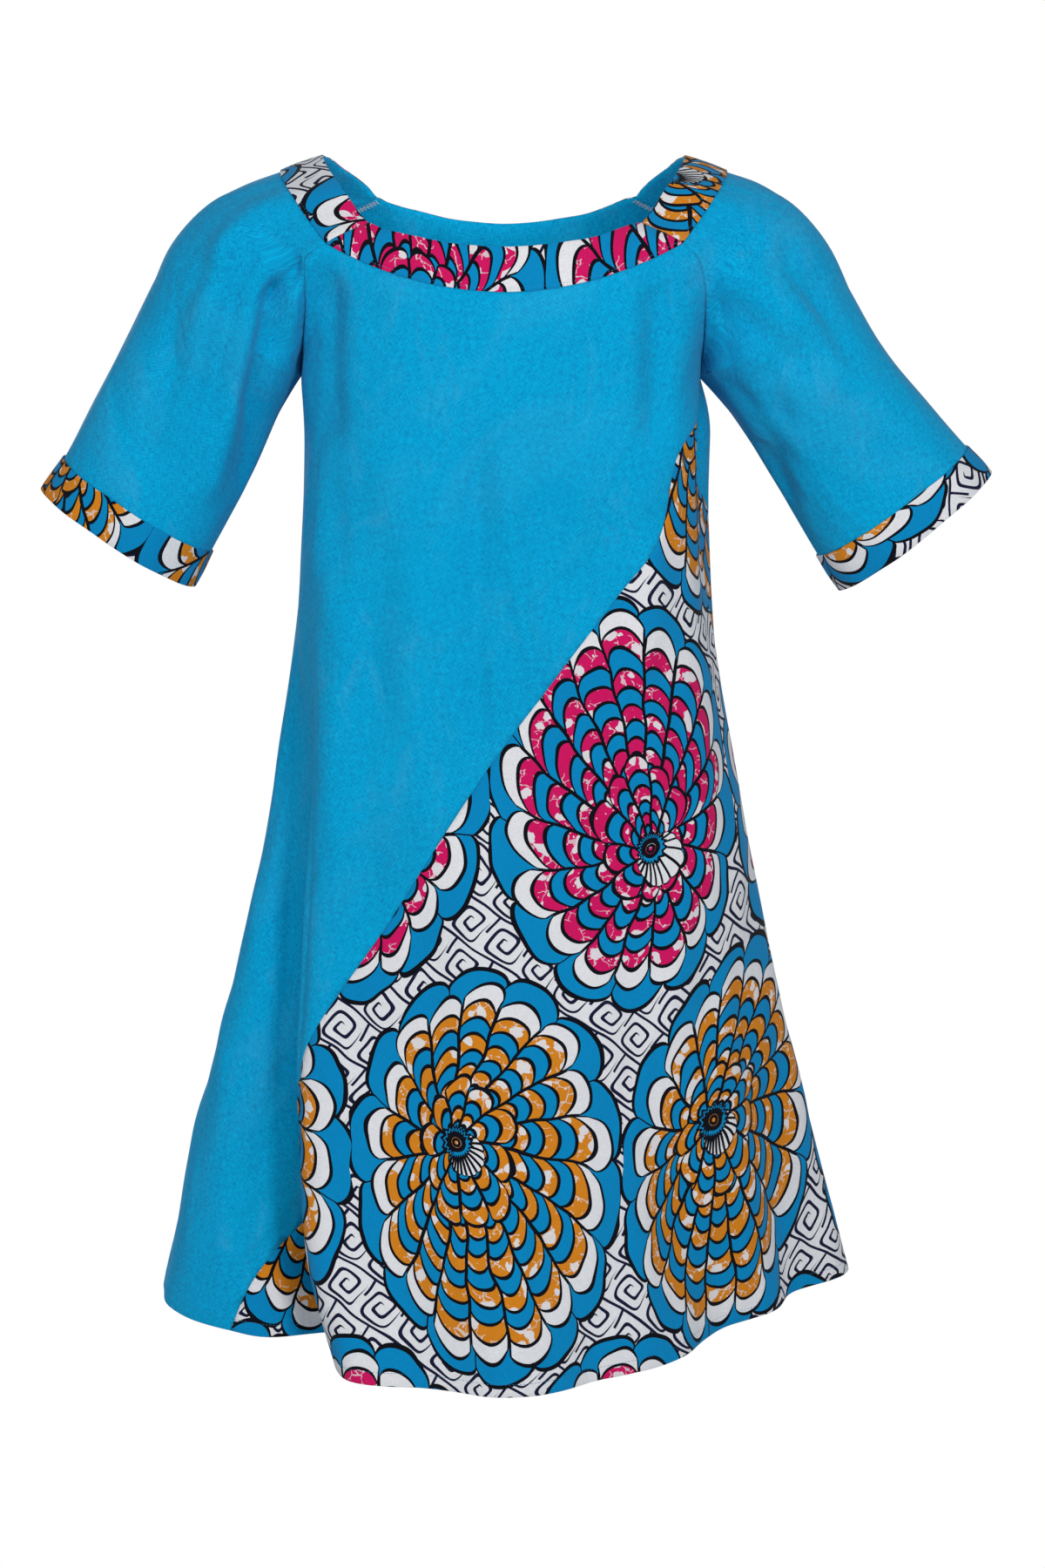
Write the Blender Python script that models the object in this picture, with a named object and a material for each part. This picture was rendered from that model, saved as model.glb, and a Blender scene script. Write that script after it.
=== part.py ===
"""Ankara wax print dress: a short A-line dress with raglan sleeves, worn by nobody and hollow.

Every cut piece is a thin wall of its own.  The whole garment is first worked out as one skin:
rows of stations run from the neck edge to the hem on the body, and from the neck edge to the
cuff on each sleeve.  The skin is then cut at the seams, and each piece gets its wall inwards
from the skin.  The neckband and the cuffs lie on the panels and are made from the panels' own
points, moved outwards.

Metres, +Z up, +X to the wearer's left, front towards -Y.  The origin is midway between the
tops of the two shoulders, where a wearer's shoulders hold the dress.
"""

from dataclasses import astuple, dataclass, fields
from math import pi

import bmesh
import bpy
import numpy as np
from mathutils import Vector
from mathutils.kdtree import KDTree

# Cloth and seams
WALL = 0.0014  # cloth with its turned seam allowances
GAP = 0.0003  # between two pieces at a seam, and between a band and its panel
TIP_LIMIT = 0.0025  # a pointed corner is drawn back by no more than this
NEARLY_FLAT = 0.9  # cosine between a piece's direction and the skin's, at a seam
OPEN_RIDGE = 0.4  # the same, where the seam runs over a ridge
MERGE = 1e-5  # points closer than this are one point of the skin

# The grid of the skin
UPPER_ROWS = (0.0, 0.5, 1.0, 1.5, 2.0, 2.5, 3.0, 3.5, 4.0, 4.5, 5.0)  # neck edge to underarm
BAND_ROW = 1.0  # outer edge of the neckband
UNDERARM_ROW = 5.0
FOLDS_ROW = 6.0  # the grid's columns begin to swing with the folds here
HEM_ROW = 11.0
LOWER_STEPS = 24  # rows between the underarm and the hem
BODY_COLUMNS = 28
TRACE_STEPS = 361  # points along a row when its length is measured
SLOPE_STEP = 1e-3  # a row's direction is read this far each way
EDGE_EASE = 0.035  # folds die away this far from a side seam
SNAP = 0.2  # a column this near the diagonal seam, in columns, is moved onto it
SLEEVE_COLUMNS = 24
SLEEVE_STEPS = 7  # rows between the underarm and the top of the cuff
CUFF_STEPS = 2
CUFF_ROW = 8.0
SLEEVE_END_ROW = 9.0


@dataclass(frozen=True)
class EdgeStation:
    """Where the two side edges of the front and back lie in one row of the body."""

    row: float
    right_x: float  # the wearer's right edge, at -X
    left_x: float  # the wearer's left edge, at +X
    right_front_y: float  # of the front's edge, and below the underarm of the side seam
    left_front_y: float
    right_back_y: float  # of the back's edge, down to the underarm
    left_back_y: float
    front_z: float
    back_z: float


BODY_EDGES = [
    # row  right_x left_x | y: right front, left front, right back, left back | z: front, back
    EdgeStation(0.0, 0.105, 0.108, -0.086, -0.086, 0.090, 0.090, -0.040, -0.030),
    EdgeStation(1.0, 0.137, 0.139, -0.100, -0.100, 0.103, 0.103, -0.054, -0.047),
    EdgeStation(2.0, 0.156, 0.154, -0.094, -0.094, 0.098, 0.098, -0.069, -0.064),
    EdgeStation(3.0, 0.156, 0.159, -0.076, -0.078, 0.082, 0.080, -0.098, -0.096),
    EdgeStation(4.0, 0.159, 0.159, -0.046, -0.052, 0.050, 0.044, -0.131, -0.131),
    EdgeStation(5.0, 0.163, 0.157, -0.004, -0.014, -0.004, -0.014, -0.166, -0.166),
    EdgeStation(6.0, 0.160, 0.151, -0.010, -0.056, 0.0, 0.0, -0.218, -0.218),
    EdgeStation(7.0, 0.166, 0.163, -0.008, -0.032, 0.0, 0.0, -0.330, -0.330),
    EdgeStation(8.0, 0.185, 0.187, -0.004, -0.004, 0.0, 0.0, -0.470, -0.470),
    EdgeStation(9.0, 0.216, 0.219, 0.004, 0.004, 0.0, 0.0, -0.640, -0.640),
    EdgeStation(10.0, 0.258, 0.259, 0.014, 0.018, 0.0, 0.0, -0.800, -0.800),
    EdgeStation(11.0, 0.290, 0.295, 0.024, 0.034, 0.0, 0.0, -0.936, -0.936),
]


@dataclass(frozen=True)
class MiddleStation:
    """Where the middle of the front and back lies in one row, and how the row curves to it."""

    row: float
    front_y: float
    front_z: float
    back_y: float
    back_z: float
    square: float  # 2 is an ellipse, and more is squarer
    edge_turn: float  # 1 meets the edge at a slant, and the value of square meets it head on


BODY_MIDDLES = [
    # row  front_y front_z | back_y back_z | square edge_turn
    MiddleStation(0.0, -0.108, -0.057, 0.112, -0.053, 2.4, 1.0),
    MiddleStation(1.0, -0.116, -0.090, 0.118, -0.088, 2.6, 1.0),
    MiddleStation(2.0, -0.118, -0.103, 0.120, -0.102, 2.6, 1.1),
    MiddleStation(3.0, -0.120, -0.124, 0.120, -0.124, 2.6, 1.3),
    MiddleStation(4.0, -0.122, -0.148, 0.118, -0.148, 2.8, 1.9),
    MiddleStation(5.0, -0.123, -0.174, 0.115, -0.174, 3.0, 3.0),
    MiddleStation(6.0, -0.124, -0.225, 0.110, -0.225, 3.0, 3.0),
    MiddleStation(7.0, -0.124, -0.337, 0.108, -0.337, 2.8, 2.8),
    MiddleStation(8.0, -0.128, -0.478, 0.116, -0.478, 2.4, 2.4),
    MiddleStation(9.0, -0.140, -0.652, 0.134, -0.652, 2.0, 2.0),
    MiddleStation(10.0, -0.155, -0.818, 0.156, -0.818, 1.8, 1.8),
    MiddleStation(11.0, -0.170, -0.966, 0.178, -0.966, 1.7, 1.7),
]


@dataclass(frozen=True)
class Fold:
    """A soft ridge (depth above 0) or trough (below 0) that runs down one side of the body.

    across_top and across_foot say where it lies, as shares of the panel's width from -X to +X,
    and sway how far it bows from a straight line between them.
    """

    across_top: float
    across_foot: float
    sway: float
    row_top: float
    row_full: float
    half_width: float
    depth: float
    lean: float  # how far the cloth is drawn along the row towards +X
    row_gone: float = 0.0  # where it has died away again, if it does


FRONT_FOLDS = [
    # a_top a_foot sway  r_top r_full half_w depth   lean  r_gone
    Fold(0.200, 0.356, -0.050, 6.4, 10.8, 0.040, 0.026, 0.0),  # the tall fold's crest
    Fold(0.200, 0.356, -0.050, 6.4, 9.8, 0.040, 0.0, -0.016, 11.8),  # leans over the trough
    Fold(0.130, 0.256, -0.050, 6.4, 10.8, 0.026, -0.060, 0.0),  # the deep trough beside it
    Fold(0.130, 0.256, -0.050, 6.4, 9.8, 0.026, 0.0, 0.022, 11.8),  # is drawn in under it
    Fold(0.060, 0.110, 0.0, 7.5, 10.8, 0.045, 0.022, 0.0),  # the flap that swings out at the side
    Fold(0.470, 0.500, 0.0, 8.2, 11.0, 0.060, 0.026, 0.0),  # soft fold in the middle
    Fold(0.620, 0.780, 0.0, 8.6, 11.0, 0.050, -0.032, 0.0),  # hollow towards the wearer's left
    Fold(0.900, 0.900, 0.0, 8.8, 11.0, 0.040, -0.030, 0.0),
]
BACK_FOLDS = [
    Fold(0.900, 0.900, 0.0, 4.8, 6.0, 0.050, 0.015, 0.0, 8.2),  # the back rounds past the side seam
    Fold(0.220, 0.260, 0.0, 7.0, 11.0, 0.045, -0.030, 0.0),
    Fold(0.360, 0.400, 0.0, 7.0, 11.0, 0.050, 0.022, 0.0),
    Fold(0.550, 0.580, 0.0, 7.4, 11.0, 0.050, -0.024, 0.0),
    Fold(0.720, 0.740, 0.0, 7.0, 11.0, 0.050, 0.022, 0.0),
    Fold(0.860, 0.900, 0.0, 7.6, 11.0, 0.040, -0.016, 0.0),
]


@dataclass(frozen=True)
class SeamStation:
    """Where the seam between plain and print crosses a row, as a share of the panel's width."""

    row: float
    across: float


FRONT_SEAM = [
    SeamStation(5.5, 1.0),
    SeamStation(6.0, 0.895),
    SeamStation(6.5, 0.842),
    SeamStation(7.0, 0.714),
    SeamStation(8.0, 0.458),
    SeamStation(9.0, 0.288),
    SeamStation(10.0, 0.210),
    SeamStation(11.0, 0.172),
]
BACK_SEAM = [
    SeamStation(6.25, 1.0),
    SeamStation(7.0, 0.850),
    SeamStation(8.0, 0.600),
    SeamStation(9.0, 0.400),
    SeamStation(10.0, 0.280),
    SeamStation(11.0, 0.215),
]


@dataclass(frozen=True)
class ColumnLine:
    """A column of the grid that runs down a fold, so that the fold keeps a clean line."""

    column: int
    across_top: float
    across_foot: float
    sway: float


FRONT_LINES = [
    ColumnLine(0, 0.0, 0.0, 0.0),
    ColumnLine(3, 0.070, 0.155, -0.030),
    ColumnLine(5, 0.130, 0.256, -0.050),
    ColumnLine(10, 0.200, 0.356, -0.050),
    ColumnLine(12, 0.280, 0.436, -0.030),
    ColumnLine(28, 1.0, 1.0, 0.0),
]
BACK_LINES = [ColumnLine(0, 0.0, 0.0, 0.0), ColumnLine(28, 1.0, 1.0, 0.0)]


@dataclass(frozen=True)
class SleeveStation:
    """One row of a sleeve: an oval from its top to its underside, half_depth deep each way."""

    row: float
    top_x: float
    top_z: float
    under_x: float
    under_z: float
    half_depth: float


SHOULDER = [
    # row  top_x   top_z   under_x under_z half_depth
    SleeveStation(0.0, 0.1440, 0.0066, 0.016, -0.147, 0.094),
    SleeveStation(1.0, 0.1775, -0.0045, 0.0385, -0.1675, 0.109),
    SleeveStation(2.0, 0.2050, -0.0140, 0.070, -0.160, 0.100),
    SleeveStation(3.0, 0.2330, -0.0290, 0.128, -0.134, 0.092),
    SleeveStation(4.0, 0.2560, -0.0510, 0.144, -0.148, 0.086),
]
ARM_RIGHT = [
    SleeveStation(5.0, 0.2800, -0.0889, 0.163, -0.166, 0.080),
    SleeveStation(6.0, 0.3060, -0.1370, 0.183, -0.196, 0.073),
    SleeveStation(7.0, 0.3330, -0.1870, 0.207, -0.252, 0.065),
    SleeveStation(8.0, 0.3570, -0.2331, 0.2385, -0.3105, 0.058),
    SleeveStation(9.0, 0.3740, -0.2590, 0.2530, -0.3380, 0.055),
]
ARM_LEFT = [
    SleeveStation(5.0, 0.2790, -0.0970, 0.159, -0.166, 0.080),
    SleeveStation(6.0, 0.3090, -0.1460, 0.184, -0.196, 0.073),
    SleeveStation(7.0, 0.3440, -0.1880, 0.219, -0.252, 0.065),
    SleeveStation(8.0, 0.3760, -0.2250, 0.2560, -0.3140, 0.058),
    SleeveStation(9.0, 0.3940, -0.2460, 0.2740, -0.3410, 0.055),
]

PLAIN_BLUE = (0.010, 0.305, 0.620, 1.0)
PRINT_BLUE = (0.000, 0.220, 0.540, 1.0)


def smooth_columns(table, rows):
    """Every column of a table at the given rows, as a smooth curve that never overshoots."""
    data = np.array([astuple(station) for station in table])
    at, values = data[:, 0], data[:, 1:]
    step = np.diff(at)[:, None]
    slope = np.diff(values, axis=0) / step
    tangent = np.zeros_like(values)
    tangent[0], tangent[-1] = slope[0], slope[-1]
    product = slope[:-1] * slope[1:]
    total = slope[:-1] + slope[1:]
    rising = product > 0
    tangent[1:-1] = np.where(rising, 2 * product / np.where(rising, total, 1.0), 0.0)
    rows = np.asarray(rows, dtype=float)
    low = np.clip(np.searchsorted(at, rows, side="right") - 1, 0, len(at) - 2)
    share = ((rows - at[low]) / (at[low + 1] - at[low]))[:, None]
    width = (at[low + 1] - at[low])[:, None]
    return (
        values[low] * (1 + 2 * share) * (1 - share) ** 2
        + values[low + 1] * share**2 * (3 - 2 * share)
        + tangent[low] * width * share * (1 - share) ** 2
        + tangent[low + 1] * width * share**2 * (share - 1)
    )


def station_at(table, row):
    """The table's named values at one row."""
    kind = type(table[0])
    values = smooth_columns(table, [row])[0]
    names = [field.name for field in fields(kind)][1:]
    return kind(row, **dict(zip(names, values)))


def ease(share):
    """0 to 1 with level ends."""
    share = np.clip(share, 0.0, 1.0)
    return share * share * (3 - 2 * share)


def mix(first, second, share):
    """A value between two."""
    return first + (second - first) * share


def power(value, exponent):
    """A power that keeps the sign."""
    return np.sign(value) * np.abs(value) ** exponent


def body_row(row, side, across):
    """Points of one body row, at shares 0 (-X edge) to 1 (+X edge) of its length.

    side is -1 for the front and 1 for the back.
    """
    edges = station_at(BODY_EDGES, row)
    middle = station_at(BODY_MIDDLES, row)
    front = side < 0
    meets = front or row >= UNDERARM_ROW  # below the underarm, front and back share their edges
    right_y = edges.right_front_y if meets else edges.right_back_y
    left_y = edges.left_front_y if meets else edges.left_back_y
    edge_z = edges.front_z if front else edges.back_z
    middle_y = middle.front_y if front else middle.back_y
    middle_z = middle.front_z if front else middle.back_z
    turn = np.linspace(0.0, pi, TRACE_STEPS)
    reach = -power(np.cos(turn), 2 / middle.square)
    bulge = (1 - np.abs(reach) ** middle.square).clip(0) ** (1 / middle.edge_turn)
    edge_y = np.where(reach < 0, right_y, left_y)
    x = np.where(reach < 0, reach * edges.right_x, reach * edges.left_x)
    y = edge_y + (middle_y - edge_y) * bulge
    z = edge_z + (middle_z - edge_z) * (1 - reach**2)
    run = np.concatenate([[0.0], np.cumsum(np.hypot(np.diff(x), np.diff(y)))])
    wanted = np.asarray(across) * run[-1]
    base = np.stack([np.interp(wanted, run, value) for value in (x, y, z)], axis=1)
    ahead = np.stack([np.interp(wanted + SLOPE_STEP, run, value) for value in (x, y)], axis=1)
    behind = np.stack([np.interp(wanted - SLOPE_STEP, run, value) for value in (x, y)], axis=1)
    along = ahead - behind
    along /= np.linalg.norm(along, axis=1)[:, None]
    outward = np.stack([along[:, 1], -along[:, 0]], axis=1) * -side
    for fold in FRONT_FOLDS if front else BACK_FOLDS:
        depth, lean = fold_at(fold, row, wanted, run[-1])
        base[:, :2] += outward * depth[:, None] + along * lean[:, None]
    return base


def fold_at(fold, row, run, length):
    """How far one fold moves the cloth outwards and along its row; the side seams stay put."""
    grown = ease((row - fold.row_top) / (fold.row_full - fold.row_top))
    if fold.row_gone:
        grown *= 1 - ease((row - fold.row_full) / (fold.row_gone - fold.row_full))
    middle = length * line_across(fold, row)
    shape = np.exp(-(((run - middle) / fold.half_width) ** 2))
    edge = ease(np.minimum(run, length - run) / EDGE_EASE)
    return fold.depth * grown * shape * edge, fold.lean * grown * shape * edge


def line_across(line, row):
    """Where a fold or a column crosses a row."""
    down = np.clip((row - FOLDS_ROW) / (HEM_ROW - FOLDS_ROW), 0.0, 1.0)
    return mix(line.across_top, line.across_foot, down) + line.sway * 4 * down * (1 - down)


def sleeve_row(row, sign, around):
    """Points of one sleeve row, at shares 0 (front edge) over the top to 1 (back edge).

    Down to the underarm the row is open and ends at the raglan seams.  Below, it closes.
    """
    table = SHOULDER + (ARM_LEFT if sign > 0 else ARM_RIGHT)
    place = station_at(table, row)
    top = np.array([place.top_x, 0.0, place.top_z])
    under = np.array([place.under_x, 0.0, place.under_z])
    middle, half = (top + under) / 2, (top - under) / 2
    fade = np.clip(UNDERARM_ROW + 1 - row, 0.0, 1.0)
    edge = min(row, UNDERARM_ROW)
    end = 1.0 if sign > 0 else 0.0
    front = body_row(edge, -1, [end])[0] * (sign, 1, 1)
    back = body_row(edge, 1, [end])[0] * (sign, 1, 1)
    turns = [oval_turn(point, middle, half, place.half_depth) for point in (front, back)]
    if row >= UNDERARM_ROW:
        turns = [pi, -pi]
        front = back = under + (front - under) * fade
    share = np.asarray(around, dtype=float)
    turn = turns[0] + (turns[1] - turns[0]) * share
    points = middle + np.outer(np.cos(turn), half)
    points[:, 1] -= place.half_depth * np.sin(turn)
    first, last = points[0].copy(), points[-1].copy()
    if fade > 0:
        points += np.outer((1 - share) ** 3, front - first) + np.outer(share**3, back - last)
    return points * (sign, 1, 1)


def oval_turn(point, middle, half, half_depth):
    """The angle from an oval's top at which a point lies nearest, positive towards the front."""
    along = np.dot(point - middle, half) / np.dot(half, half)
    return np.arctan2(-point[1] / half_depth, along)


def across_of(column, row, lines):
    """A column's place across its row, as a share of the panel's width."""
    places = [line_across(line, row) for line in lines]
    return np.interp(column, [line.column for line in lines], places)


def column_of(across, row, lines):
    """The column at a place across its row."""
    places = [line_across(line, row) for line in lines]
    return np.interp(across, places, [line.column for line in lines])


def body_rows():
    """Every row of the body, from the neck edge to the hem."""
    return list(UPPER_ROWS) + list(np.linspace(UNDERARM_ROW, HEM_ROW, LOWER_STEPS + 1)[1:])


def seam_column(row, seam, lines):
    """The column at which the diagonal seam crosses a row; above the seam it is off the panel."""
    if row <= seam[0].row:
        return BODY_COLUMNS + (seam[0].row - row) * BODY_COLUMNS
    return column_of(station_at(seam, row).across, row, lines)


def sleeve_rows():
    """Every row of a sleeve, from the neck edge to its end."""
    arm = np.linspace(UNDERARM_ROW, CUFF_ROW, SLEEVE_STEPS + 1)[1:]
    cuff = np.linspace(CUFF_ROW, SLEEVE_END_ROW, CUFF_STEPS + 1)[1:]
    return list(UPPER_ROWS) + list(arm) + list(cuff)


def flat_grid(columns, rows):
    """A level grid whose corners are whole numbers: columns along X and rows along Y."""
    mesh = bmesh.new()
    bmesh.ops.create_grid(mesh, x_segments=columns, y_segments=rows, size=0.5)
    for vertex in mesh.verts:
        vertex.co.x = round((vertex.co.x + 0.5) * columns)
        vertex.co.y = round((vertex.co.y + 0.5) * rows)
    return mesh


class Sheet:
    """A cut piece as a mesh on the skin, before it has a wall."""

    def __init__(self, name, mesh, flipped):
        self.name = name
        self.mesh = mesh
        if flipped:
            bmesh.ops.reverse_faces(mesh, faces=mesh.faces)
        mesh.normal_update()


def body_sheet(name, side, below_seam):
    """The plain part of the front or back, above its diagonal seam, or the print below it."""
    lines = FRONT_LINES if side < 0 else BACK_LINES
    seam = FRONT_SEAM if side < 0 else BACK_SEAM
    rows = body_rows()
    mesh = flat_grid(BODY_COLUMNS, len(rows) - 1)
    for vertex in mesh.verts:
        vertex.co.y = rows[round(vertex.co.y)]
        offset = vertex.co.x - seam_column(vertex.co.y, seam, lines)
        vertex.co.x = 0.0 if abs(offset) < SNAP else offset
    bmesh.ops.bisect_plane(
        mesh,
        geom=mesh.verts[:] + mesh.edges[:] + mesh.faces[:],
        dist=MERGE,
        plane_co=(0, 0, 0),
        plane_no=(1, 0, 0),
        clear_outer=not below_seam,
        clear_inner=below_seam,
    )
    for vertex in mesh.verts:
        row = vertex.co.y
        offset = 0.0 if abs(vertex.co.x) < MERGE else vertex.co.x
        across = across_of(offset + seam_column(row, seam, lines), row, lines)
        vertex.co = body_row(row, side, [across])[0]
    return Sheet(name, mesh, side < 0)


def sleeve_sheet(name, sign, rows):
    """A sleeve, or the stretch of it that a band covers."""
    mesh = flat_grid(SLEEVE_COLUMNS, len(rows) - 1)
    around = np.linspace(0, 1, SLEEVE_COLUMNS + 1)
    points = [sleeve_row(row, sign, around) for row in rows]
    for vertex in mesh.verts:
        vertex.co = points[round(vertex.co.y)][round(vertex.co.x)]
    bmesh.ops.remove_doubles(mesh, verts=mesh.verts, dist=MERGE)
    return Sheet(name, mesh, sign > 0)


def neck_sheet(name, side):
    """The top of the front or back, as far down as the neckband covers it."""
    lines = FRONT_LINES if side < 0 else BACK_LINES
    rows = [row for row in UPPER_ROWS if row <= BAND_ROW]
    mesh = flat_grid(BODY_COLUMNS, len(rows) - 1)
    for vertex in mesh.verts:
        row = rows[round(vertex.co.y)]
        vertex.co = body_row(row, side, [across_of(vertex.co.x, row, lines)])[0]
    return Sheet(name, mesh, side < 0)


def skin_directions(sheets):
    """A function giving the skin's outward direction at a point, shared by pieces that meet.

    It also says whether the skin bends away there, as over a ridge.
    """
    corners = [
        (vertex.co.copy(), face.normal * face.calc_area(), face.calc_center_median())
        for sheet in sheets
        for face in sheet.mesh.faces
        for vertex in face.verts
    ]
    tree = KDTree(len(corners))
    for index, corner in enumerate(corners):
        tree.insert(corner[0], index)
    tree.balance()

    def direction(point):
        near = [corners[index] for _, index, _ in tree.find_range(point, MERGE)]
        way = sum((normal for _, normal, _ in near), Vector()).normalized()
        bend = sum((centre - place for place, _, centre in near), Vector())
        return way, bend.dot(way) < 0

    return direction


def draw_in(mesh, distance):
    """How far each edge vertex moves so that every open edge is drawn in by a distance."""
    pulls = {}
    for edge in mesh.edges:
        if not edge.is_boundary:
            continue
        loop = edge.link_loops[0]
        along = (loop.link_loop_next.vert.co - loop.vert.co).normalized()
        inward = loop.face.normal.cross(along).normalized()
        for vertex in edge.verts:
            pulls.setdefault(vertex.index, []).append(inward)
    moves = {}
    for index, (first, second) in pulls.items():
        move = (first + second) * distance / max(1 + first.dot(second), 1e-3)
        if move.length > TIP_LIMIT:
            move *= TIP_LIMIT / move.length
        moves[index] = move
    return moves


def wall_direction(vertex, direction):
    """The way the wall faces: shared across a seam, unless the pieces fold together there."""
    shared, ridge = direction(vertex.co)
    likeness = shared.dot(vertex.normal)
    if likeness > NEARLY_FLAT or (ridge and likeness > OPEN_RIDGE):
        return shared
    return vertex.normal.copy()


def make_wall(sheet, direction, colour, on_panel=False):
    """Give a sheet its wall: a panel's inwards from the skin, a band's on top of its panel."""
    from_skin = GAP + WALL if on_panel else 0.0
    mesh = sheet.mesh
    mesh.verts.index_update()
    sheet_vertices = mesh.verts[:]
    moves = draw_in(mesh, GAP / 2)
    outward = [
        direction(vertex.co)[0] if on_panel else wall_direction(vertex, direction)
        for vertex in sheet_vertices
    ]
    rim = [
        (edge.link_loops[0].vert, edge.link_loops[0].link_loop_next.vert)
        for edge in mesh.edges
        if edge.is_boundary
    ]
    copy = bmesh.ops.duplicate(mesh, geom=mesh.verts[:] + mesh.edges[:] + mesh.faces[:])
    twins = copy["vert_map"]
    inner_faces = [item for item in copy["geom"] if isinstance(item, bmesh.types.BMFace)]
    for vertex, way in zip(sheet_vertices, outward):
        drawn = vertex.co + moves.get(vertex.index, Vector())
        vertex.co = drawn + way * from_skin
        twins[vertex].co = drawn + way * (from_skin - WALL)
    bmesh.ops.reverse_faces(mesh, faces=inner_faces)
    for start, end in rim:
        mesh.faces.new((end, start, twins[start], twins[end]))
    return finish_object(sheet.name, mesh, colour)


def finish_object(name, mesh, colour):
    """Turn a closed mesh into a named object with its own cloth material."""
    bmesh.ops.triangulate(mesh, faces=mesh.faces)
    bmesh.ops.recalc_face_normals(mesh, faces=mesh.faces)
    data = bpy.data.meshes.new(name)
    mesh.to_mesh(data)
    mesh.free()
    data.shade_smooth()
    piece = bpy.data.objects.new(name, data)
    bpy.context.collection.objects.link(piece)
    data.materials.append(cloth_material(f"{name}_cloth", colour))
    return piece


def cloth_material(name, colour):
    """Plain-woven cotton of one colour."""
    material = bpy.data.materials.new(name)
    material.use_nodes = True
    shader = material.node_tree.nodes["Principled BSDF"]
    shader.inputs["Base Color"].default_value = colour
    shader.inputs["Roughness"].default_value = 0.75
    shader.inputs["Metallic"].default_value = 0.0
    return material


def main():
    """Cut the skin into its pieces and give each its wall."""
    for old in list(bpy.data.objects):
        bpy.data.objects.remove(old, do_unlink=True)
    arm = sleeve_rows()
    shoulder = [row for row in arm if row <= BAND_ROW]
    cuff = [row for row in arm if row >= CUFF_ROW]
    plain = [
        body_sheet("front_plain", -1, False),
        body_sheet("back_plain", 1, False),
        sleeve_sheet("sleeve_right", -1, arm),
        sleeve_sheet("sleeve_left", 1, arm),
    ]
    printed = [body_sheet("front_print", -1, True), body_sheet("back_print", 1, True)]
    bands = [
        neck_sheet("neckband_front", -1),
        neck_sheet("neckband_back", 1),
        sleeve_sheet("neckband_right", -1, shoulder),
        sleeve_sheet("neckband_left", 1, shoulder),
        sleeve_sheet("cuff_right", -1, cuff),
        sleeve_sheet("cuff_left", 1, cuff),
    ]
    direction = skin_directions(plain + printed)
    for sheet in plain:
        make_wall(sheet, direction, PLAIN_BLUE)
    for sheet in printed:
        make_wall(sheet, direction, PRINT_BLUE)
    for sheet in bands:
        make_wall(sheet, direction, PRINT_BLUE, on_panel=True)


main()
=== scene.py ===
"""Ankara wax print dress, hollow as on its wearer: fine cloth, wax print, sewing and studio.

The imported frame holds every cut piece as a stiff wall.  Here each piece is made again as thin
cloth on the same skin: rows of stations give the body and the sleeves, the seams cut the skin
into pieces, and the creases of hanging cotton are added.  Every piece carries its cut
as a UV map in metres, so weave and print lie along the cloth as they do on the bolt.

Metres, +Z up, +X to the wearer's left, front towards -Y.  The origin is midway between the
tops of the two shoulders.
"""

import logging
from dataclasses import astuple, dataclass, field, fields
from enum import Enum
from math import pi, radians
from typing import Callable

import bmesh
import bpy
import numpy as np
from mathutils import Matrix, Vector


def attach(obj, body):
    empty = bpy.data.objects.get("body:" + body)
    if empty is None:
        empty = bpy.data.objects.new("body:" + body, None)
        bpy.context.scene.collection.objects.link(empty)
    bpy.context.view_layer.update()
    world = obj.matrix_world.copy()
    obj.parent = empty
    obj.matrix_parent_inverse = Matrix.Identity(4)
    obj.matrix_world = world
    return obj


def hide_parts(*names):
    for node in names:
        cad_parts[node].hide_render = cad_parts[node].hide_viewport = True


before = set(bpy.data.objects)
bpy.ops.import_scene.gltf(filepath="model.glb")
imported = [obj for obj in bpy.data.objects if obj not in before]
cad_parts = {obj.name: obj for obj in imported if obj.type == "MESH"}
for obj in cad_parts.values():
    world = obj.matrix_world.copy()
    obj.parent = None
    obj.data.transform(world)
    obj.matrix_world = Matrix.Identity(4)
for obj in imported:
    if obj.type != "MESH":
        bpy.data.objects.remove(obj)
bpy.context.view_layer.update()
BODY = "root"
LOG = logging.getLogger("dress")

# Cloth and seams
CLOTH = 0.0006  # thickness of one layer
BAND_LIFT = 0.0017  # a band's outer face above the cloth it is sewn to
BAND_ROLL = 0.0013  # from a band's outer face to the edge turned under it
BAND_CROWN = 0.0006  # a band rises by this much between its two edges
BAND_CELL = 0.0035  # between a band's rows
BAND_TURN_ROWS = 0.08  # of one row turned under a band
HEM_ROLL = 0.0015
INSIDE = 0.0016  # from the skin to the thread on the inside of a seam
SEAM_DEPTH = 0.0003  # a seam pulls the cloth in by this much
SEAM_WIDTH = 0.0035
SEAM_SLOPE = 0.75  # the diagonal seams lie this much nearer than straight across
JOIN_WIDTH = 0.008  # two skins share one normal about this far from their seam
HEM_TURN = 0.012  # depth of the turned hem
MERGE = 1e-6
SNAP = 0.25  # a column this near the diagonal seam, in columns, is moved onto it

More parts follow.
